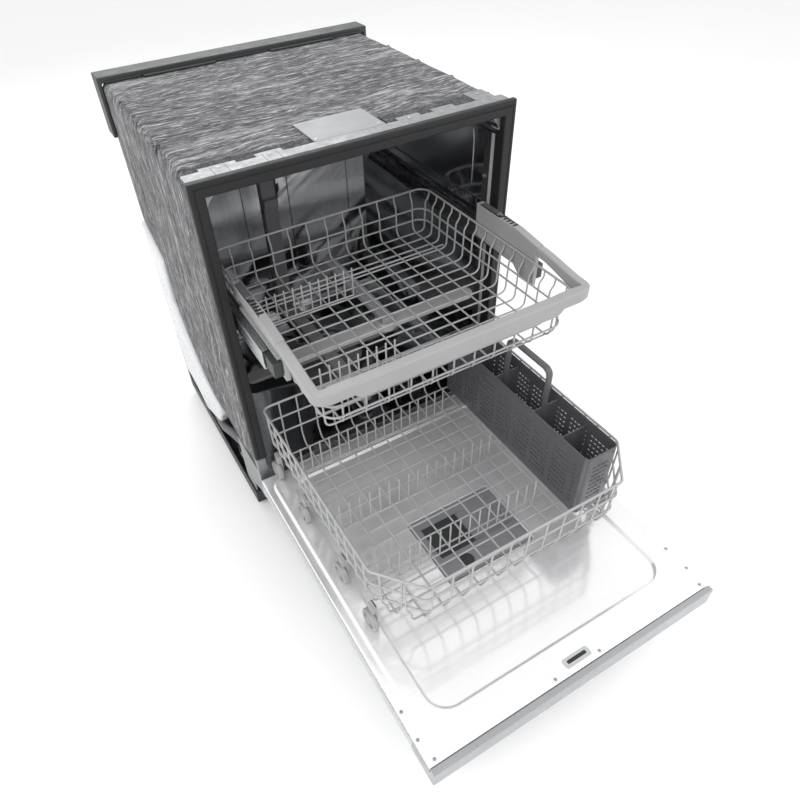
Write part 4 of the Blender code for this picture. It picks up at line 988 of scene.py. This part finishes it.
def liner():
    """Pressed steel sheet: raised round-cornered field, shallow recess, hole for the dispenser."""
    def ring(half, y0, y1, radius, z, shift=0.0):
        radius = max(radius + shift, 0.0008)
        outline = rounded_rect(-half - shift, half + shift, y0 - shift, y1 + shift, radius, 8)
        return [at(x, y, z) for x, y in outline]

    outer, field = (0.2982, -0.6677, -0.0123, 0.004), (0.283, -0.636, -0.022, 0.035)
    recess = (0.248, -0.613, -0.057, 0.04)
    flat = DOOR_Z - 0.005
    rings = [ring(*outer, 0.181), ring(*outer, flat - 0.0018), ring(*outer, flat - 0.0007, -0.0005),
             ring(*outer, flat, -0.0017)]
    for rect, start, end in ((field, flat, DOOR_Z), (recess, DOOR_Z, flat)):
        rings.append(ring(*rect, start, 0.004))
        for t in spaced(0, 1, 9):
            rings.append(ring(*rect, start + (end - start) * ease(t), 0.0022 - 0.006 * t))
        rings.append(ring(*rect, end, -0.006))
    rings += [ring(0.0985, -0.4285, -0.2715, 0.005, flat), ring(0.0965, -0.4265, -0.2735, 0.005, flat),
              ring(0.0958, -0.4258, -0.2742, 0.005, flat - 0.0012)]
    sheet = Mesh().add(*bridge(rings, caps=False))
    made = sheet.make("pressed_liner", STEEL, "door", "stainless_steel", ("door_inner_liner",), 60)
    faces = made.data.polygons
    if faces[len(faces) // 2].normal.z < 0:
        made.data.flip_normals()
    solid = made.modifiers.new("sheet", "SOLIDIFY")
    solid.thickness, solid.offset = 0.0008, -1.0


def door_details():
    """The liner's screws and the latch plate."""
    screws = Mesh()
    for x, y in ((-0.292, -0.575), (-0.292, -0.624), (-0.285, -0.66), (-0.05, -0.66), (0.045, -0.66),
                 (0.285, -0.66), (0.292, -0.575), (0.292, -0.624)):
        screw(screws, at(x, y, 0.1952), radius=0.003, height=0.0011)
    screws.make("liner_screws", SCREW, "door", "stainless_steel")
    latch = Mesh().add(*soft_box(-0.022, 0.032, -0.658, -0.6405, 0.1946, 0.1958, 0.0004, 0.004))
    latch.make("latch_plate", PANEL_STEEL, "door", "stainless_steel")
    slot = Mesh().add(*soft_box(-0.015, 0.025, -0.652, -0.6455, 0.195, 0.19605, 0.0004, 0.002))
    slot.make("latch_slot", BLACK, "door", "black_plastic")


def dress_cad():
    """Surfaces and rounded edges for the nodes that keep their CAD shape."""
    dress(TUB_STEEL, "tub", edge=0.0)
    dress(ZINC, "front_flange", edge=0.0006)
    dress(ZINC, "hinge_arm_left", "hinge_arm_right", edge=0.0009)
    dress(CHANNEL, "rear_channel", edge=0.0024, segments=3)
    dress(BLACK, "base_pan", "toe_panel", "drain_pump", edge=0.001)
    dress(WHITE, "side_tank", edge=0.006, segments=4)
    dress(PIPE_GREY, "sump", "spray_duct", "filter_cylinder", edge=0.0012)
    dress(CHANNEL, "circulation_motor", "foot_front_left", "foot_front_right", "foot_rear_left", "foot_rear_right",
          edge=0.001)
    dress(GREY, "lower_spray_arm", "top_spray_arm", "middle_spray_arm", edge=0.0022, segments=3)
    dress(RAIL_STEEL, "tub_rail_left", "tub_rail_right", "middle_slide_left", "middle_slide_right", edge=0.0005)
    dress(CHANNEL, "upper_runner_left", "upper_runner_right", edge=0.0012)
    dress(PIPE_GREY, "upper_feed_tube", edge=0.0022, segments=3)
    dress(GREY, "upper_bracket_left", "upper_bracket_right", edge=0.0016, segments=3)
    dress(LEVER_GREY, "height_lever_left", "height_lever_right", edge=0.0022, segments=3)
    dress(PANEL_STEEL, "door_outer_panel", edge=0.0006)
    dress(CONSOLE, "door_console", edge=0.0014, segments=3)
    dress(CHANNEL, "power_button", "start_button", edge=0.0007)
    dress(PIPE_GREY, "detergent_dispenser", edge=0.0012)
    dress(CHANNEL, "detergent_lid", "rinse_aid_cap", edge=0.0008)


# ---- stage
FLOOR = 12.0
AIM = Vector((0, 0.0, 0.4))
# name, place, size and watts
LAMPS = (("key", (-1.6, -1.4, 2.6), 1.6, 42.0), ("fill", (2.2, -1.6, 1.8), 2.0, 20.0),
         ("back", (0.3, 2.4, 2.4), 1.8, 24.0))


def stage():
    """A white floor, a white world and three soft lamps."""
    data = bpy.data.meshes.new("floor")
    data.from_pydata([(-FLOOR, -FLOOR, 0), (FLOOR, -FLOOR, 0), (FLOOR, FLOOR, 0), (-FLOOR, FLOOR, 0)], [],
                     [(0, 1, 2, 3)])
    floor = link("floor", data)
    paint = Surface("studio_floor", (0.9, 0.9, 0.9), 0.75)
    paint.drive("Base Color", paint.ramp(paint.noise(2.0), (0.3, (0.895,) * 3), (0.7, (0.905,) * 3)))
    data.materials.append(paint.material)
    world = bpy.data.worlds.new("studio")
    bpy.context.scene.world = world
    world.use_nodes = True
    back = world.node_tree.nodes["Background"]
    back.inputs["Color"].default_value = (1.0, 1.0, 1.0, 1)
    back.inputs["Strength"].default_value = 1.0
    for name, spot, size, power in LAMPS:
        lamp = bpy.data.lights.new(name, "AREA")
        lamp.size, lamp.energy = size, power
        light = link(name, lamp)
        light.location = spot
        light.rotation_euler = (AIM - Vector(spot)).to_track_quat("-Z", "Y").to_euler()
    bpy.context.scene.view_settings.view_transform = "Standard"


make_camera()
stage()
dress_cad()
felt()
felt_strip()
staples()
gasket()
mouth()
tub_beads()
flange_details()
channel_details()
hose()
springs()
tank_details()
upper_rack()
lower_rack()
wheels()
basket()
rim()
bracket_details()
slide_details()
liner()
door_details()
